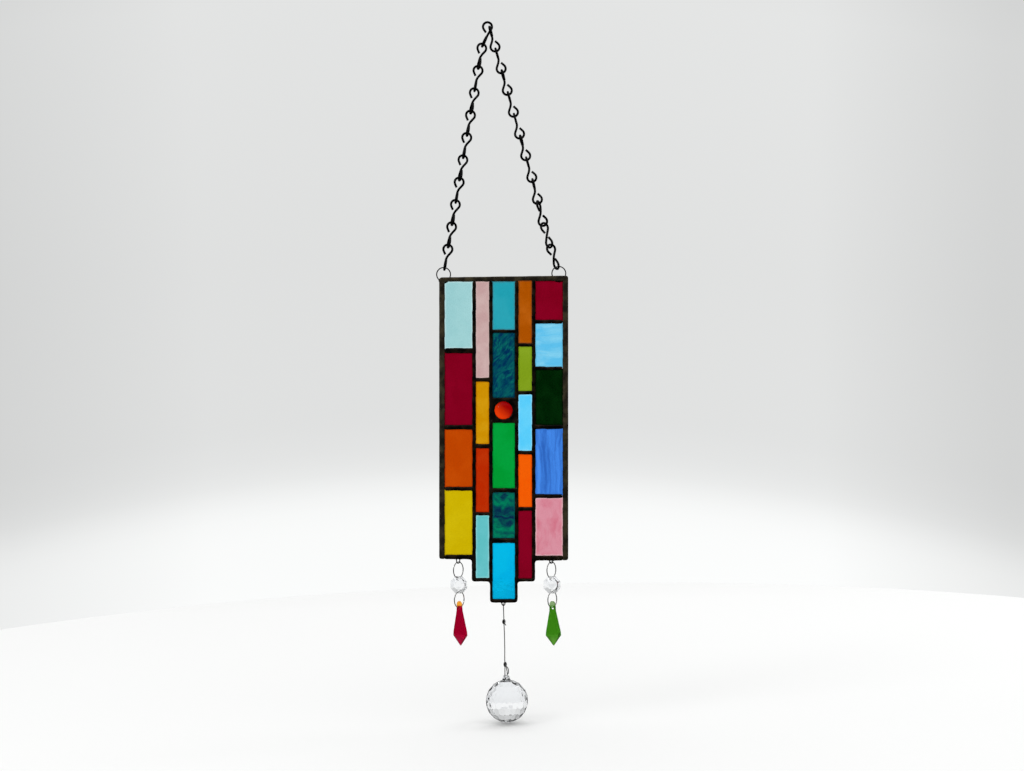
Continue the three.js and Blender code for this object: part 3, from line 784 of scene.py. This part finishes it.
def silver_wire():
    material, tree, shader, place = new_material("silver_wire", Metallic=1.0)
    dulled = rescale(tree, noise_node(tree, place, 420.0, 4.0), 0.4, 0.72, smooth=True)
    colour = mix_colours(tree, dulled, screen_colour(236, 236, 234), screen_colour(176, 172, 164))
    tree.links.new(colour, shader.inputs["Base Color"])
    tree.links.new(rescale(tree, dulled, 0.0, 1.0, 0.16, 0.4), shader.inputs["Roughness"])
    add_relief(tree, shader, noise_node(tree, place, 2600.0, 2.0), strength=0.3, distance=0.02 * MM)
    return material


SILVER_WIRE = silver_wire()
PENDANT_RING_TURN = Matrix.Rotation(math.radians(55), 3, "Z")
PENDANT_BUTTS = {"upper": 0.4, "lower": 2.6}       # where the cut ends of a ring meet, as an angle round it
for side in ("left", "right"):
    node = f"ring_{side}"
    place_wire(f"corner_ring_{side}", ring_line(CORNER_RING, -math.pi / 2), [(centre_of(node), TILT)],
               CORNER_WIRE, BLACK_WIRE, [node])
    for level, butt in PENDANT_BUTTS.items():
        node = f"{side}_{level}_ring"
        place_wire(f"silver_ring_{side}_{level}", ring_line(PENDANT_RING, butt),
                   [(centre_of(node), PENDANT_RING_TURN)], PENDANT_WIRE, SILVER_WIRE, [node])
print("6 jump rings")

# %% [markdown]
# ## Art glass
#
# Each pane is cut from a different sheet, and the sheets differ in how their colours were stirred: clear and
# even, streaked one way, wispy, feathered, or swirled. One node group draws them all. It stretches and warps
# a noise along two directions and mixes a second colour in by it. The pane carries its distance from the edge
# of its window as an attribute, and the group paints a rim by it: painted shade of the solder where the rim
# colour is darker, and painted light where it is paler. The colours are those that the light has after
# passing through.

# %% Art glass group


RIM_WIDTH = 1.5                            # in millimetres, as the pane keeps its distances


def art_glass_group():
    group, start, end = new_group("art_glass", "ShaderNodeTree", {
        "Vector": "Vector", "Base": "Color", "Streak": "Color", "Rim Shade And Light": "Color", "Across": "Float",
        "Up": "Float", "Turn": "Float", "Warp": "Float", "Amount": "Float"},
        {"Colour": "Color", "Height": "Float"})
    vector = start["Vector"]
    rotation = add_node(group, "ShaderNodeCombineXYZ", {"Y": start["Turn"]})
    turned_place = add_node(group, "ShaderNodeMapping", {"Vector": vector, "Rotation": rotation})
    stretch = add_node(group, "ShaderNodeCombineXYZ", {"X": start["Across"], "Y": 40.0, "Z": start["Up"]})
    stretched = vector_node(group, "MULTIPLY", {0: turned_place, 1: stretch})
    eddy = noise_node(group, vector, 48.0, 2.0).outputs["Color"]
    eddies = vector_node(group, "SUBTRACT", {0: eddy, 1: (0.5, 0.5, 0.5)})
    push = vector_node(group, "SCALE", {0: eddies, "Scale": start["Warp"]})
    flow = vector_node(group, "ADD", {0: stretched, 1: push})
    figure = noise_node(group, flow, 1.0, 5.0, Roughness=0.55)
    share = times(group, rescale(group, figure, 0.36, 0.66, smooth=True), start["Amount"])
    body = mix_colours(group, share, start["Base"], start["Streak"])
    # Painted rim: towards the window's edge the colour turns to the rim colour, painted shade of the solder
    # where that is darker, painted light where it is paler.
    distance = add_node(group, "ShaderNodeAttribute", attribute_name="rim").outputs["Fac"]
    wobble = noise_node(group, vector, 260.0, 2.0)
    uneven = times(group, RIM_WIDTH, rescale(group, wobble, 0.3, 0.7, 0.5, 1.5))
    rim = rescale(group, math_node(group, "DIVIDE", distance, uneven), 0.0, 1.0, 0.85, 0.0, smooth=True)
    group.links.new(mix_colours(group, rim, body, start["Rim Shade And Light"]), end["Colour"])
    skin = noise_node(group, vector, 190.0, 3.0)
    group.links.new(plus(group, skin, times(group, share, 0.3)), end["Height"])
    return group


ART_GLASS = art_glass_group()

# %% The sheets of glass
EVEN = dict(across=35, up=35, warp=1.5, amount=0.6)
MOTTLED = dict(across=70, up=70, warp=1.0, amount=0.8)
FEATHERED = dict(across=520, up=90, turn=-0.75, warp=6.5, amount=1.0)
SWIRLED = dict(across=40, up=110, warp=5.5, amount=1.0)
FAINT_LEVEL_STREAKS = dict(across=14, up=170, warp=1.2, amount=0.5)
FEW_UPRIGHT_STREAKS = dict(across=230, up=7, warp=1.2, amount=0.75)
WISPY = dict(across=130, up=24, warp=3.0, amount=0.8)
# Finish: colour, second colour, colour at the rim, and how the sheet was stirred. The colour at the rim is
# painted shade of the solder where it is darker, and painted light where it is paler
SHEETS = {
    "pale_aqua": ((154, 207, 210), (170, 218, 220), (195, 228, 230), EVEN),
    "crimson": ((128, 0, 28), (141, 2, 36), (108, 0, 22), EVEN),
    "rust": ((191, 68, 0), (203, 81, 6), (168, 52, 0), EVEN),
    "yellow": ((206, 179, 0), (214, 190, 12), (180, 153, 5), EVEN),
    "pale_pink": ((198, 162, 161), (211, 182, 179), (208, 180, 176), MOTTLED),
    "amber": ((206, 143, 0), (216, 160, 18), (183, 116, 0), MOTTLED),
    "red_orange": ((187, 41, 0), (198, 63, 15), (153, 31, 0), EVEN),
    "pale_teal": ((98, 195, 199), (115, 205, 212), (149, 219, 221), EVEN),
    "turquoise": ((32, 161, 179), (50, 171, 187), (62, 136, 150), EVEN),
    "dark_teal": ((0, 44, 85), (10, 106, 98), (0, 44, 59), FEATHERED),
    "green": ((0, 155, 51), (6, 168, 67), (0, 130, 45), EVEN),
    "teal_swirl": ((0, 134, 92), (7, 36, 74), (6, 75, 80), SWIRLED),
    "sky_blue": ((0, 181, 233), (5, 195, 238), (1, 161, 207), EVEN),
    "orange_brown": ((173, 81, 0), (192, 99, 18), (116, 60, 27), MOTTLED),
    "lime": ((128, 159, 26), (144, 174, 44), (107, 135, 24), EVEN),
    "light_blue": ((82, 206, 255), (114, 218, 255), (148, 226, 255), EVEN),
    "orange": ((246, 87, 0), (246, 102, 8), (214, 72, 0), EVEN),
    "streaky_blue": ((94, 195, 240), (173, 235, 248), (99, 183, 218), FAINT_LEVEL_STREAKS),
    "dark_green": ((0, 29, 3), (4, 41, 8), (0, 18, 2), MOTTLED),
    "blue": ((71, 142, 241), (33, 83, 173), (56, 118, 210), FEW_UPRIGHT_STREAKS),
    "pink": ((221, 148, 164), (210, 110, 131), (229, 186, 192), WISPY),
}


def glass_material(finish):
    base, streak, rim, stir = SHEETS[finish]
    material, tree, shader, place = new_material(
        "glass_" + finish, Roughness=0.04, IOR=1.5, Transmission_Weight=1.0)
    sheet = add_node(tree, "ShaderNodeGroup", node_tree=ART_GLASS)
    tree.links.new(place, sheet.inputs["Vector"])
    for socket, colour in (("Base", base), ("Streak", streak), ("Rim Shade And Light", rim)):
        sheet.inputs[socket].default_value = screen_colour(*colour)
    for socket, value in stir.items():
        sheet.inputs[socket.title()].default_value = value
    tree.links.new(sheet.outputs["Colour"], shader.inputs["Base Color"])
    add_relief(tree, shader, sheet.outputs["Height"], strength=0.25, distance=0.4 * MM)
    return material


GLASS = {finish: glass_material(finish) for finish in SHEETS}
print(f"{len(GLASS)} sheets of glass")

# %% [markdown]
# ## Panes
#
# A pane is a thin slab with its edges in the slots of the metal. Rolled glass is never quite flat: its faces
# ripple by a tenth of a millimetre or so, which bends the light a little and breaks up reflections. A pane's
# size comes from the box round its solid, turned back by the tilt. Geometry Nodes make the slab, ripple its
# two faces with a noise of the pane's own seed, and keep the distance to the window's edge on each point.

# %% Pane tree
GLASS_LAP = 0.8 * MM                       # how far a pane's edge goes into the metal
CELLS_A_METRE = 900.0                      # how finely a pane is divided


def pane_tree():
    tree, start, end = new_geometry_tree(
        "rippled_pane", Width="Float", Height="Float", Thickness="Float", Ripple="Float", Lap="Float",
        Seed="Float")
    size = add_node(tree, "ShaderNodeCombineXYZ", {
        "X": start["Width"], "Y": start["Thickness"], "Z": start["Height"]})
    place = add_node(tree, "GeometryNodeInputPosition").outputs[0]
    parts = add_node(tree, "ShaderNodeSeparateXYZ", {0: place}).outputs
    counts, shares = {}, []
    for axis, length in (("X", "Width"), ("Z", "Height")):
        counts[axis] = plus(tree, times(tree, start[length], CELLS_A_METRE), 3.0)
        inset = minus(tree, times(tree, start[length], 0.5), start["Lap"])
        shares.append(minus(tree, inset, math_node(tree, "ABSOLUTE", parts[axis])))
    slab = add_node(tree, "GeometryNodeMeshCube", {
        "Size": size, "Vertices X": counts["X"], "Vertices Y": 2, "Vertices Z": counts["Z"]})
    nearest = math_node(tree, "MINIMUM", *shares)
    rim = add_node(tree, "GeometryNodeStoreNamedAttribute", {
        "Geometry": slab, "Name": "rim", "Value": math_node(tree, "DIVIDE", nearest, MM)},
        data_type="FLOAT", domain="POINT")
    ripples = noise_node(tree, place, 85.0, 1.0, W=start["Seed"])
    swing = times(tree, minus(tree, ripples, 0.5), start["Ripple"])
    side = math_node(tree, "SIGN", parts["Y"])
    offset = add_node(tree, "ShaderNodeCombineXYZ", {"Y": times(tree, swing, side)})
    rippled = add_node(tree, "GeometryNodeSetPosition", {"Geometry": rim, "Offset": offset})
    return end_tree(tree, start, end, rippled)


def upright_size(node):
    """Width, thickness and height of a pane before the tilt, from the box round its solid."""
    low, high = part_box(node)
    wide, thick, tall = high - low
    turn, lean = TILT[0][0], TILT[0][2]
    width = (wide * turn - tall * lean) / (turn ** 2 - lean ** 2)
    height = (tall * turn - wide * lean) / (turn ** 2 - lean ** 2)
    return width, thick, height


# %% Cut the panes
RIPPLE, SEED_STEP = 0.16 * MM, 3.7
pane_nodes = sorted(name for name in NODES if name.startswith("pane_"))
slab_tree = pane_tree()
for number, node in enumerate(pane_nodes):
    place, finish = node.split("_", 2)[1:]
    width, thickness, height = upright_size(node)
    blank = bare_object(node + "_blank", bpy.data.meshes.new(node + "_blank"))
    with_nodes(blank, slab_tree, {
        "Width": width, "Height": height, "Thickness": thickness - RIPPLE, "Ripple": RIPPLE, "Lap": GLASS_LAP,
        "Seed": SEED_STEP * number, "Material": GLASS[finish]})
    pane = settle(blank, f"glass_{place}_{finish}")
    pane.data.transform(Matrix.Translation(centre_of(node)) @ TILT_4)
    finish_piece(pane, None, [node])
print(f"{len(pane_nodes)} panes, the last {width / MM:.1f} by {height / MM:.1f} mm")

# %% [markdown]
# ## Solder and came
#
# The solder between the panes was run by hand along copper foil, so its beads are round, swell and thin
# along the line, and dip at the joints. The border is lead came with an antiqued finish. Both keep the form
# of their solids. A copy of each solid is rebuilt as an even skin of small faces, its sharp edges are
# relaxed until they are round, and Geometry Nodes push the skin in and out with a broad noise for the swells
# and a fine one for the skin of the metal.

# %% Hand-run metal tree


def hand_run_tree():
    tree, start, end = new_geometry_tree(
        "hand_run_metal", Grow="Float", Swell="Float", Swell_Scale="Float", Skin="Float", Skin_Scale="Float",
        Seed="Float")
    place = add_node(tree, "GeometryNodeInputPosition")
    normal = add_node(tree, "GeometryNodeInputNormal")
    total = start["Grow"]
    for height, detail in (("Swell", 1.0), ("Skin", 2.0)):
        rise = noise_node(tree, place, start[height + " Scale"], detail, W=start["Seed"])
        total = plus(tree, times(tree, minus(tree, rise, 0.5), start[height]), total)
    offset = vector_node(tree, "SCALE", {0: normal, "Scale": total})
    moved = add_node(tree, "GeometryNodeSetPosition", {"Geometry": start["Geometry"], "Offset": offset})
    return end_tree(tree, start, end, moved)


metal_tree = hand_run_tree()


def hand_run(node, name, values, grain, relax):
    """A solid of metal with an even skin, relaxed edges and a hand-made surface."""
    blank = bare_object(name + "_blank", NODES[node].data.copy())
    skin = bmesh.new()
    skin.from_mesh(blank.data)
    bmesh.ops.remove_doubles(skin, verts=skin.verts, dist=1e-7)
    skin.to_mesh(blank.data)
    skin.free()
    remesh = blank.modifiers.new("even_skin", "REMESH")
    remesh.mode, remesh.voxel_size = "VOXEL", grain
    smooth = blank.modifiers.new("relax", "SMOOTH")
    smooth.factor, smooth.iterations = 0.5, relax
    with_nodes(blank, metal_tree, values)
    piece = settle(blank, name)
    return finish_piece(piece, None, [node])


BLACK_SOLDER = worn_metal("black_solder", ((18, 18, 16), (60, 48, 34), (150, 142, 130)),
                          amount=0.34, speck_scale=700.0, roughness=0.4, bump=0.1 * MM)
ANTIQUE_CAME = worn_metal("antique_came", ((48, 42, 32), (86, 78, 56), (132, 122, 104)),
                          amount=0.3, speck_scale=500.0, roughness=0.5, bump=0.1 * MM, metallic=0.7)
solder = hand_run("solder_lattice", "solder_beads", {
    "Grow": 0.42 * MM, "Swell": 0.6 * MM, "Swell Scale": 210.0, "Skin": 0.15 * MM, "Skin Scale": 700.0,
    "Seed": 1.0, "Material": BLACK_SOLDER}, grain=0.58 * MM, relax=7)
came = hand_run("border_came", "border_came_skin", {
    "Grow": 0.15 * MM, "Swell": 0.3 * MM, "Swell Scale": 90.0, "Skin": 0.12 * MM, "Skin Scale": 500.0,
    "Seed": 2.0, "Material": ANTIQUE_CAME}, grain=0.5 * MM, relax=3)
print(f"solder {triangle_count(solder)} triangles, came {triangle_count(came)}")

# %% [markdown]
# The drops and the ball hang from three small wire loops, whose ends are set into the solder along the
# bottom. They are too fine for the skin of the solder, so they are bent from wire of their own.

# %% Hanging loops
LOOP_WIRE, LOOP_RADIUS, LOOP_SUNK, LOOP_BENDS = 0.85, 1.3, 1.5, 6      # the first three in millimetres
LOOP_RISE = 0.4                            # from the depth a loop reaches up to the middle of its wire
# Across from the left edge, depth of the solder's edge, and how far the loop hangs below it, in millimetres
HANGING_LOOPS = {"left": (15.9, 238.9, 4.3), "centre": (54.4, 275.7, 3.3), "right": (95.0, 240.0, 3.2)}


def loop_wire(depth, drop):
    """Down from inside the solder, round half a turn and up again, about the loop's place on the top edge."""
    middle = depth + drop - LOOP_RISE - LOOP_RADIUS
    angles = [math.pi * i / LOOP_BENDS for i in range(LOOP_BENDS + 1)]
    points = [(-LOOP_RADIUS, depth - LOOP_SUNK)]
    points += [(-LOOP_RADIUS * math.cos(angle), middle + LOOP_RADIUS * math.sin(angle)) for angle in angles]
    points.append((LOOP_RADIUS, depth - LOOP_SUNK))
    return curve_through([Vector((across, 0, -down)) * MM for across, down in points], 5)


for side, (across, depth, drop) in HANGING_LOOPS.items():
    place_wire(f"hanging_loop_{side}", loop_wire(depth, drop), [(panel_point(across, 0), TILT)],
               LOOP_WIRE * MM, BLACK_WIRE, [])
print(f"{len(HANGING_LOOPS)} hanging loops")

# %% [markdown]
# ## Nugget
#
# The round jewel near the middle is a nugget: a lump of glass melted until it drew itself into a dome with a
# flat back. It is turned from a profile, and then its skin is pushed about a little, because a melted dome is
# never a true one. It bends light less than real glass would, which keeps the colour even across the dome.

# %% Turned shapes


def turned(profile, around, place):
    """A closed mesh turned about the Y axis from (radius, out) pairs that begin and end on the axis."""
    first, *middle, last = profile
    verts = [place + Vector((0, -first[1], 0))]
    for radius, out in middle:
        spots = [on_circle(radius, i, around) for i in range(around)]
        verts += [place + Vector((across, -out, up)) for across, up in spots]
    verts.append(place + Vector((0, -last[1], 0)))
    faces = [(0, 1 + (i + 1) % around, 1 + i) for i in range(around)]
    for row in range(len(middle) - 1):
        here = 1 + row * around
        faces += [(here + i, here + (i + 1) % around, here + around + (i + 1) % around, here + around + i)
                  for i in range(around)]
    here = 1 + (len(middle) - 1) * around
    faces += [(here + i, here + (i + 1) % around, len(verts) - 1) for i in range(around)]
    return verts, faces


NUGGET_WINDOW = 7.4 * MM


def nugget_profile(rows=12):
    lip, window, back, front, rise = 8.5 * MM, NUGGET_WINDOW, -1.4 * MM, 1.4 * MM, 3.4 * MM
    profile = [(0, back), (lip * 0.5, back), (lip * 0.97, back), (lip, back * 0.7), (lip, front * 0.7),
               (lip * 0.97, front)]
    for i in range(rows):
        angle = math.pi / 2 * i / rows
        profile.append((window * math.cos(angle), front + rise * math.sin(angle)))
    return [*profile, (0, front + rise)]


def nugget_material(centre, radius):
    """Deep red glass with painted light: it turns orange low on one side, standing in for the light that the
    dome gathers there.
    """
    material, tree, shader, place = new_material(
        "glass_nugget", Roughness=0.03, IOR=1.2, Transmission_Weight=1.0)
    parts = add_node(tree, "ShaderNodeSeparateXYZ", {0: place}).outputs
    veil = noise_node(tree, place, 150.0, 3.0, Distortion=0.6)
    swayed = plus(tree, plus(tree, parts["X"], parts["Z"]), times(tree, veil, radius))
    middle = centre.x + centre.z + 0.5 * radius
    # Painted light: orange low on one side, where the dome gathers the light, darker red on the other.
    painted_glow = rescale(tree, swayed, middle - 1.3 * radius, middle + 0.9 * radius, 1.0, 0.0, smooth=True)
    colour = mix_colours(tree, painted_glow, screen_colour(150, 2, 4), screen_colour(232, 60, 10))
    tree.links.new(colour, shader.inputs["Base Color"])
    add_relief(tree, shader, veil, strength=0.2, distance=0.3 * MM)
    return material


# %% Nugget
nugget_centre = panel_point(54.5, 112.8)
DOME_FROM = -1.6 * MM                      # only the dome, in front of this, is uneven
DOME_UNEVEN, DOME_GRAIN, DOME_SINK = 0.35, 260, 0.2
verts, faces = turned(nugget_profile(), 40, Vector())
for vert in verts:
    on_dome = 1 if vert.y < DOME_FROM else 0
    vert += vert.normalized() * DOME_UNEVEN * MM * (noise.noise(vert * DOME_GRAIN) - DOME_SINK) * on_dome
nugget = mesh_object("glass_nugget_jewel", verts, faces=faces)
nugget.data.transform(Matrix.Translation(nugget_centre) @ TILT_4)
finish_piece(nugget, nugget_material(nugget_centre, NUGGET_WINDOW), ["nugget_red_orange"])

# %% [markdown]
# ## Cut crystal
#
# A facet is a plane ground on to the stone, and a cut stone is what is left when all its planes have been
# ground. So the beads and the ball are cut the same way here: a block is sliced by each plane in turn and the
# cut is closed. Every facet is then truly flat, which is what makes crystal flash. A very small bevel softens
# the edges, as polishing does.

# %% Cutting stones


def shape_object(shape, name):
    """An object with the mesh of a finished bmesh."""
    mesh = bpy.data.meshes.new(name)
    shape.to_mesh(mesh)
    shape.free()
    return bare_object(name, mesh)


def combine(target, operation, other):
    modifier = target.modifiers.new(operation.lower(), "BOOLEAN")
    modifier.operation, modifier.object, modifier.solver = operation, other, "EXACT"


def cut_stone(name, half_size, facets):
    """A block cut by planes. Each facet is (direction, distance from the middle)."""
    stone = bmesh.new()
    bmesh.ops.create_cube(stone, size=2 * half_size)
    for direction, distance in facets:
        direction = Vector(direction).normalized()
        cut = bmesh.ops.bisect_plane(
            stone, geom=stone.verts[:] + stone.edges[:] + stone.faces[:], dist=1e-7,
            plane_co=direction * distance, plane_no=direction, clear_outer=True)
        edges = [item for item in cut["geom_cut"] if isinstance(item, bmesh.types.BMEdge)]
        if edges:
            bmesh.ops.holes_fill(stone, edges=edges, sides=0)
    bmesh.ops.remove_doubles(stone, verts=stone.verts, dist=2e-6)
    bmesh.ops.recalc_face_normals(stone, faces=stone.faces)
    return shape_object(stone, name)


DRILL_LENGTH, DRILL_SIDES = 0.03, 24


def drill(stone, places, radius):
    """Bore a round hole from front to back at each place."""
    turn = Vector((0, 0, 1)).rotation_difference(Vector((0, 1, 0))).to_matrix().to_4x4()
    bit = bmesh.new()
    for place in places:
        bmesh.ops.create_cone(bit, cap_ends=True, segments=DRILL_SIDES, radius1=radius, radius2=radius,
                              depth=DRILL_LENGTH, matrix=Matrix.Translation(place) @ turn)
    bits = shape_object(bit, "drill_bit")
    combine(stone, "DIFFERENCE", bits)
    return bits


POLISH_WIDTH, POLISH_ANGLE = 0.06 * MM, math.radians(8)


def polish(stone, name, bits, place, turn, material, node):
    """Bevel the edges, apply the cuts, and set the stone in its place."""
    edge = stone.modifiers.new("polished_edges", "BEVEL")
    edge.width, edge.segments = POLISH_WIDTH, 1
    edge.limit_method, edge.angle_limit = "ANGLE", POLISH_ANGLE
    stone = settle(stone, name)
    bpy.data.objects.remove(bits)
    stone.data.transform(Matrix.Translation(place) @ Matrix.Rotation(turn, 4, "Z"))
    return finish_piece(stone, material, [node], smooth=False)


def crystal_material(name, clear, veil):
    """Clear lead crystal, with a trace of unevenness in its tint."""
    material, tree, shader, place = new_material(name, Roughness=0.0, IOR=1.54, Transmission_Weight=1.0)
    cords = noise_node(tree, place, 70.0, 3.0, Distortion=1.0)
    colour = mix_colours(tree, rescale(tree, cords, 0.4, 0.7, smooth=True), clear, veil)
    tree.links.new(colour, shader.inputs["Base Color"])
    return material


CLEAR_CRYSTAL = crystal_material("clear_crystal", (0.97, 0.985, 0.99, 1), (0.92, 0.94, 0.95, 1))

# %% Octagon beads
OCTAGON_HALF, TABLE_HALF, BEAD_HALF, GIRDLE_HALF = 7.2 * MM, 3.3 * MM, 3.0 * MM, 0.7 * MM
OCTAGON_HOLE, HOLE_INSET = 1.4 * MM, 2.1 * MM
OCTAGON_TURN = math.radians(-18)
CORNER_CUT, CORNER_SHARE = (0.47, 0.88), 0.985
FACET_SIDES = 8


def octagon_facets():
    """Two tables, eight girdle facets, and on each face eight main and eight corner facets."""
    facets = [((0, side, 0), BEAD_HALF) for side in (-1, 1)]
    slope = Vector((BEAD_HALF - GIRDLE_HALF, OCTAGON_HALF - TABLE_HALF)).normalized()
    corner = OCTAGON_HALF / math.cos(math.pi / FACET_SIDES)
    corner_slope = Vector(CORNER_CUT).normalized()
    for i in range(FACET_SIDES):
        main, between = math.pi / 4 * i, math.pi / 4 * (i + 0.5)
        facets.append(((math.cos(main), 0, math.sin(main)), OCTAGON_HALF))
        for side in (-1, 1):
            facets.append(((slope.x * math.cos(main), side * slope.y, slope.x * math.sin(main)),
                           slope.x * OCTAGON_HALF + slope.y * GIRDLE_HALF))
            reach = corner_slope.x * corner + corner_slope.y * GIRDLE_HALF
            facets.append(((corner_slope.x * math.cos(between), side * corner_slope.y,
                            corner_slope.x * math.sin(between)), reach * CORNER_SHARE))
    return facets


for side in ("left", "right"):
    bead = cut_stone(f"bead_{side}_blank", 9 * MM, octagon_facets())
    holes = [Vector((0, 0, up * (OCTAGON_HALF - HOLE_INSET))) for up in (-1, 1)]
    bits = drill(bead, holes, OCTAGON_HOLE)
    bead = polish(bead, f"crystal_octagon_{side}", bits, centre_of(f"{side}_octagon"), OCTAGON_TURN,
                  CLEAR_CRYSTAL, f"{side}_octagon")
print(f"octagon beads of {triangle_count(bead)} triangles")

# %% [markdown]
# The ball has rows of facets round its vertical axis, fewer in each row towards the poles. Its neck is a
# short stalk, drilled through from front to back for the thread.

# %% Crystal ball
BALL_RADIUS, BALL_HOLE, BALL_HOLE_HEIGHT = 17.8 * MM, 1.4 * MM, 18.8 * MM
BALL_TURN = math.radians(-15)
BALL_ROWS = ((0, 18), (20, 18), (40, 15), (60, 10), (78, 5))       # degrees up or down, and facets round
FACET_SHARE = 0.985                        # how far out a facet is, of the ball's radius
BALL_NECK = [(0, 14), (5.6, 16.2), (5.0, 16.9), (3.4, 18.2), (2.9, 19.4), (2.7, 20.7), (2.3, 21.5),
             (1.4, 21.9), (0, 22.0)]       # radius and height above the ball's middle, in millimetres


def ball_facets():
    facets = [((0, 0, side), BALL_RADIUS * FACET_SHARE) for side in (-1, 1)]
    for latitude, count in BALL_ROWS:
        for side in ((1,) if latitude == 0 else (-1, 1)):
            up = math.radians(latitude * side)
            for i in range(count):
                round_angle = 2 * math.pi * (i + (0.5 if latitude % 40 else 0)) / count
                facets.append(((math.cos(up) * math.cos(round_angle), math.cos(up) * math.sin(round_angle),
                                math.sin(up)), BALL_RADIUS * FACET_SHARE))
    return facets


def ball_with_neck():
    ball = cut_stone("ball_blank", 1.2 * BALL_RADIUS, ball_facets())
    verts, faces = turned([(radius * MM, -height * MM) for radius, height in BALL_NECK], 24, Vector())
    neck_mesh = mesh_from("neck_blank", verts, faces=faces)
    neck_mesh.transform(Matrix.Rotation(math.pi / 2, 4, "X"))
    neck = bare_object("neck_blank", neck_mesh)
    combine(ball, "UNION", neck)
    ball = settle(ball, "ball_with_neck")
    bpy.data.objects.remove(neck)
    return ball


ball = ball_with_neck()
ball_centre = centre_of("crystal_ball")
ball_centre.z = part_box("crystal_ball")[0].z + BALL_RADIUS
bits = drill(ball, [Vector((0, 0, BALL_HOLE_HEIGHT))], BALL_HOLE)
ball = polish(ball, "crystal_ball_cut", bits, ball_centre, BALL_TURN, CLEAR_CRYSTAL,
              "crystal_ball")
print(f"the ball is cut with {len(ball_facets())} facets, {triangle_count(ball)} triangles")

# %% [markdown]
# The two coloured drops are long eight-sided prisms with a flat drilled head, that widen to a shoulder low
# down and run to a point. Their form follows from a few sections, each with its depth below the top, its
# half width and its half thickness. The head is thin, and its paler colour there is a painted highlight, for
# the light that catches the drilled head. Their index is 1.33, below that of real crystal, because the full
# index put a dark line down the middle of a drop.

# %% Coloured drops
DROP_SECTIONS = [(0, 0, 0), (0.1, 1.4, 0.9), (1.7, 2.6, 1.5), (5.5, 2.9, 1.6), (8.1, 2.9, 2.2),
                 (26.1, 6.6, 4.6), (29.1, 6.8, 4.7), (37.5, 0.5, 0.5), (37.7, 0, 0)]
DROP_HOLE, DROP_HOLE_DEPTH = 1.35 * MM, 5.9 * MM


def drop_blank(name, sides=8):
    """Sections joined by flat facets, with the top at the origin."""
    verts, faces = [Vector((0, 0, 0))], []
    rings = DROP_SECTIONS[1:-1]
    for depth, half_width, half_thickness in rings:
        for i in range(sides):
            angle = 2 * math.pi * (i + 0.5) / sides
            across, out = half_width * math.sin(angle), half_thickness * math.cos(angle)
            verts.append(Vector((across, out, -depth)) * MM)
    verts.append(Vector((0, 0, -DROP_SECTIONS[-1][0] * MM)))
    for i in range(sides):
        after = (i + 1) % sides
        faces.append((0, 1 + i, 1 + after))
        for row in range(len(rings) - 1):
            here = 1 + row * sides
            faces.append((here + i, here + sides + i, here + sides + after, here + after))
        last = 1 + (len(rings) - 1) * sides
        faces.append((last + i, len(verts) - 1, last + after))
    mesh = mesh_from(name, verts, faces=faces)
    tidy = bmesh.new()
    tidy.from_mesh(mesh)
    bmesh.ops.recalc_face_normals(tidy, faces=tidy.faces)
    tidy.to_mesh(mesh)
    tidy.free()
    return bare_object(name, mesh)


def drop_material(name, node, colours):
    """Tinted crystal: one colour in the thin drilled top, which is a painted highlight, one in the body and
    one in the pointed end.
    """
    material, tree, shader, place = new_material(name, Roughness=0.0, IOR=1.33, Transmission_Weight=1.0)
    head_highlight, body, tip = [screen_colour(*colour) for colour in colours]
    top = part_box(node)[1].z
    height = add_node(tree, "ShaderNodeSeparateXYZ", {0: place}).outputs["Z"]
    sway = times(tree, minus(tree, noise_node(tree, place, 210.0, 3.0), 0.5), 2 * MM)
    level = plus(tree, height, sway)
    # Painted highlight: the colour turns pale towards the drilled top, where light catches the drop.
    with_head_highlight = mix_colours(tree, rescale(tree, level, top - 4.6 * MM, top - 3.4 * MM, smooth=True), body, head_highlight)
    pointed = rescale(tree, level, top - 33 * MM, top - 27 * MM, 1.0, 0.0, smooth=True)
    tree.links.new(mix_colours(tree, pointed, with_head_highlight, tip), shader.inputs["Base Color"])
    return material


DROPS = {
    # Colours in the head, the body and the pointed end; the pale colour in the head is a painted highlight.
    "red_drop": (-37, "red_crystal", ((255, 176, 60), (158, 0, 38), (178, 24, 62))),
    "green_drop": (-18, "green_crystal", ((140, 172, 118), (60, 132, 22), (92, 156, 54))),
}
for node, (turn, slot, colours) in DROPS.items():
    low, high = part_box(node)
    drop = drop_blank(node + "_blank")
    bits = drill(drop, [Vector((0, 0, -DROP_HOLE_DEPTH))], DROP_HOLE)
    place = Vector(((low.x + high.x) / 2, (low.y + high.y) / 2, high.z))
    material = drop_material(slot, node, colours)
    drop = polish(drop, node + "_cut", bits, place, math.radians(turn), material, node)
print(f"drops of {triangle_count(drop)} triangles, {DROP_SECTIONS[-1][0]:.1f} mm long")

# %% [markdown]
# ## Solids left showing, and sizes
#
# The solids that still show are listed, and the box of the finished pieces is printed beside the box of the
# solids, so the two can be compared.

bare = [name for name, node in NODES.items() if not node.hide_render]
seen_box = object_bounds()
print(f"solids still showing: {bare}")
for label, (low, high) in (("solids", CAD_BOX), ("pieces", seen_box)):
    print(label, [round(value / MM, 1) for value in (*low, *high)])
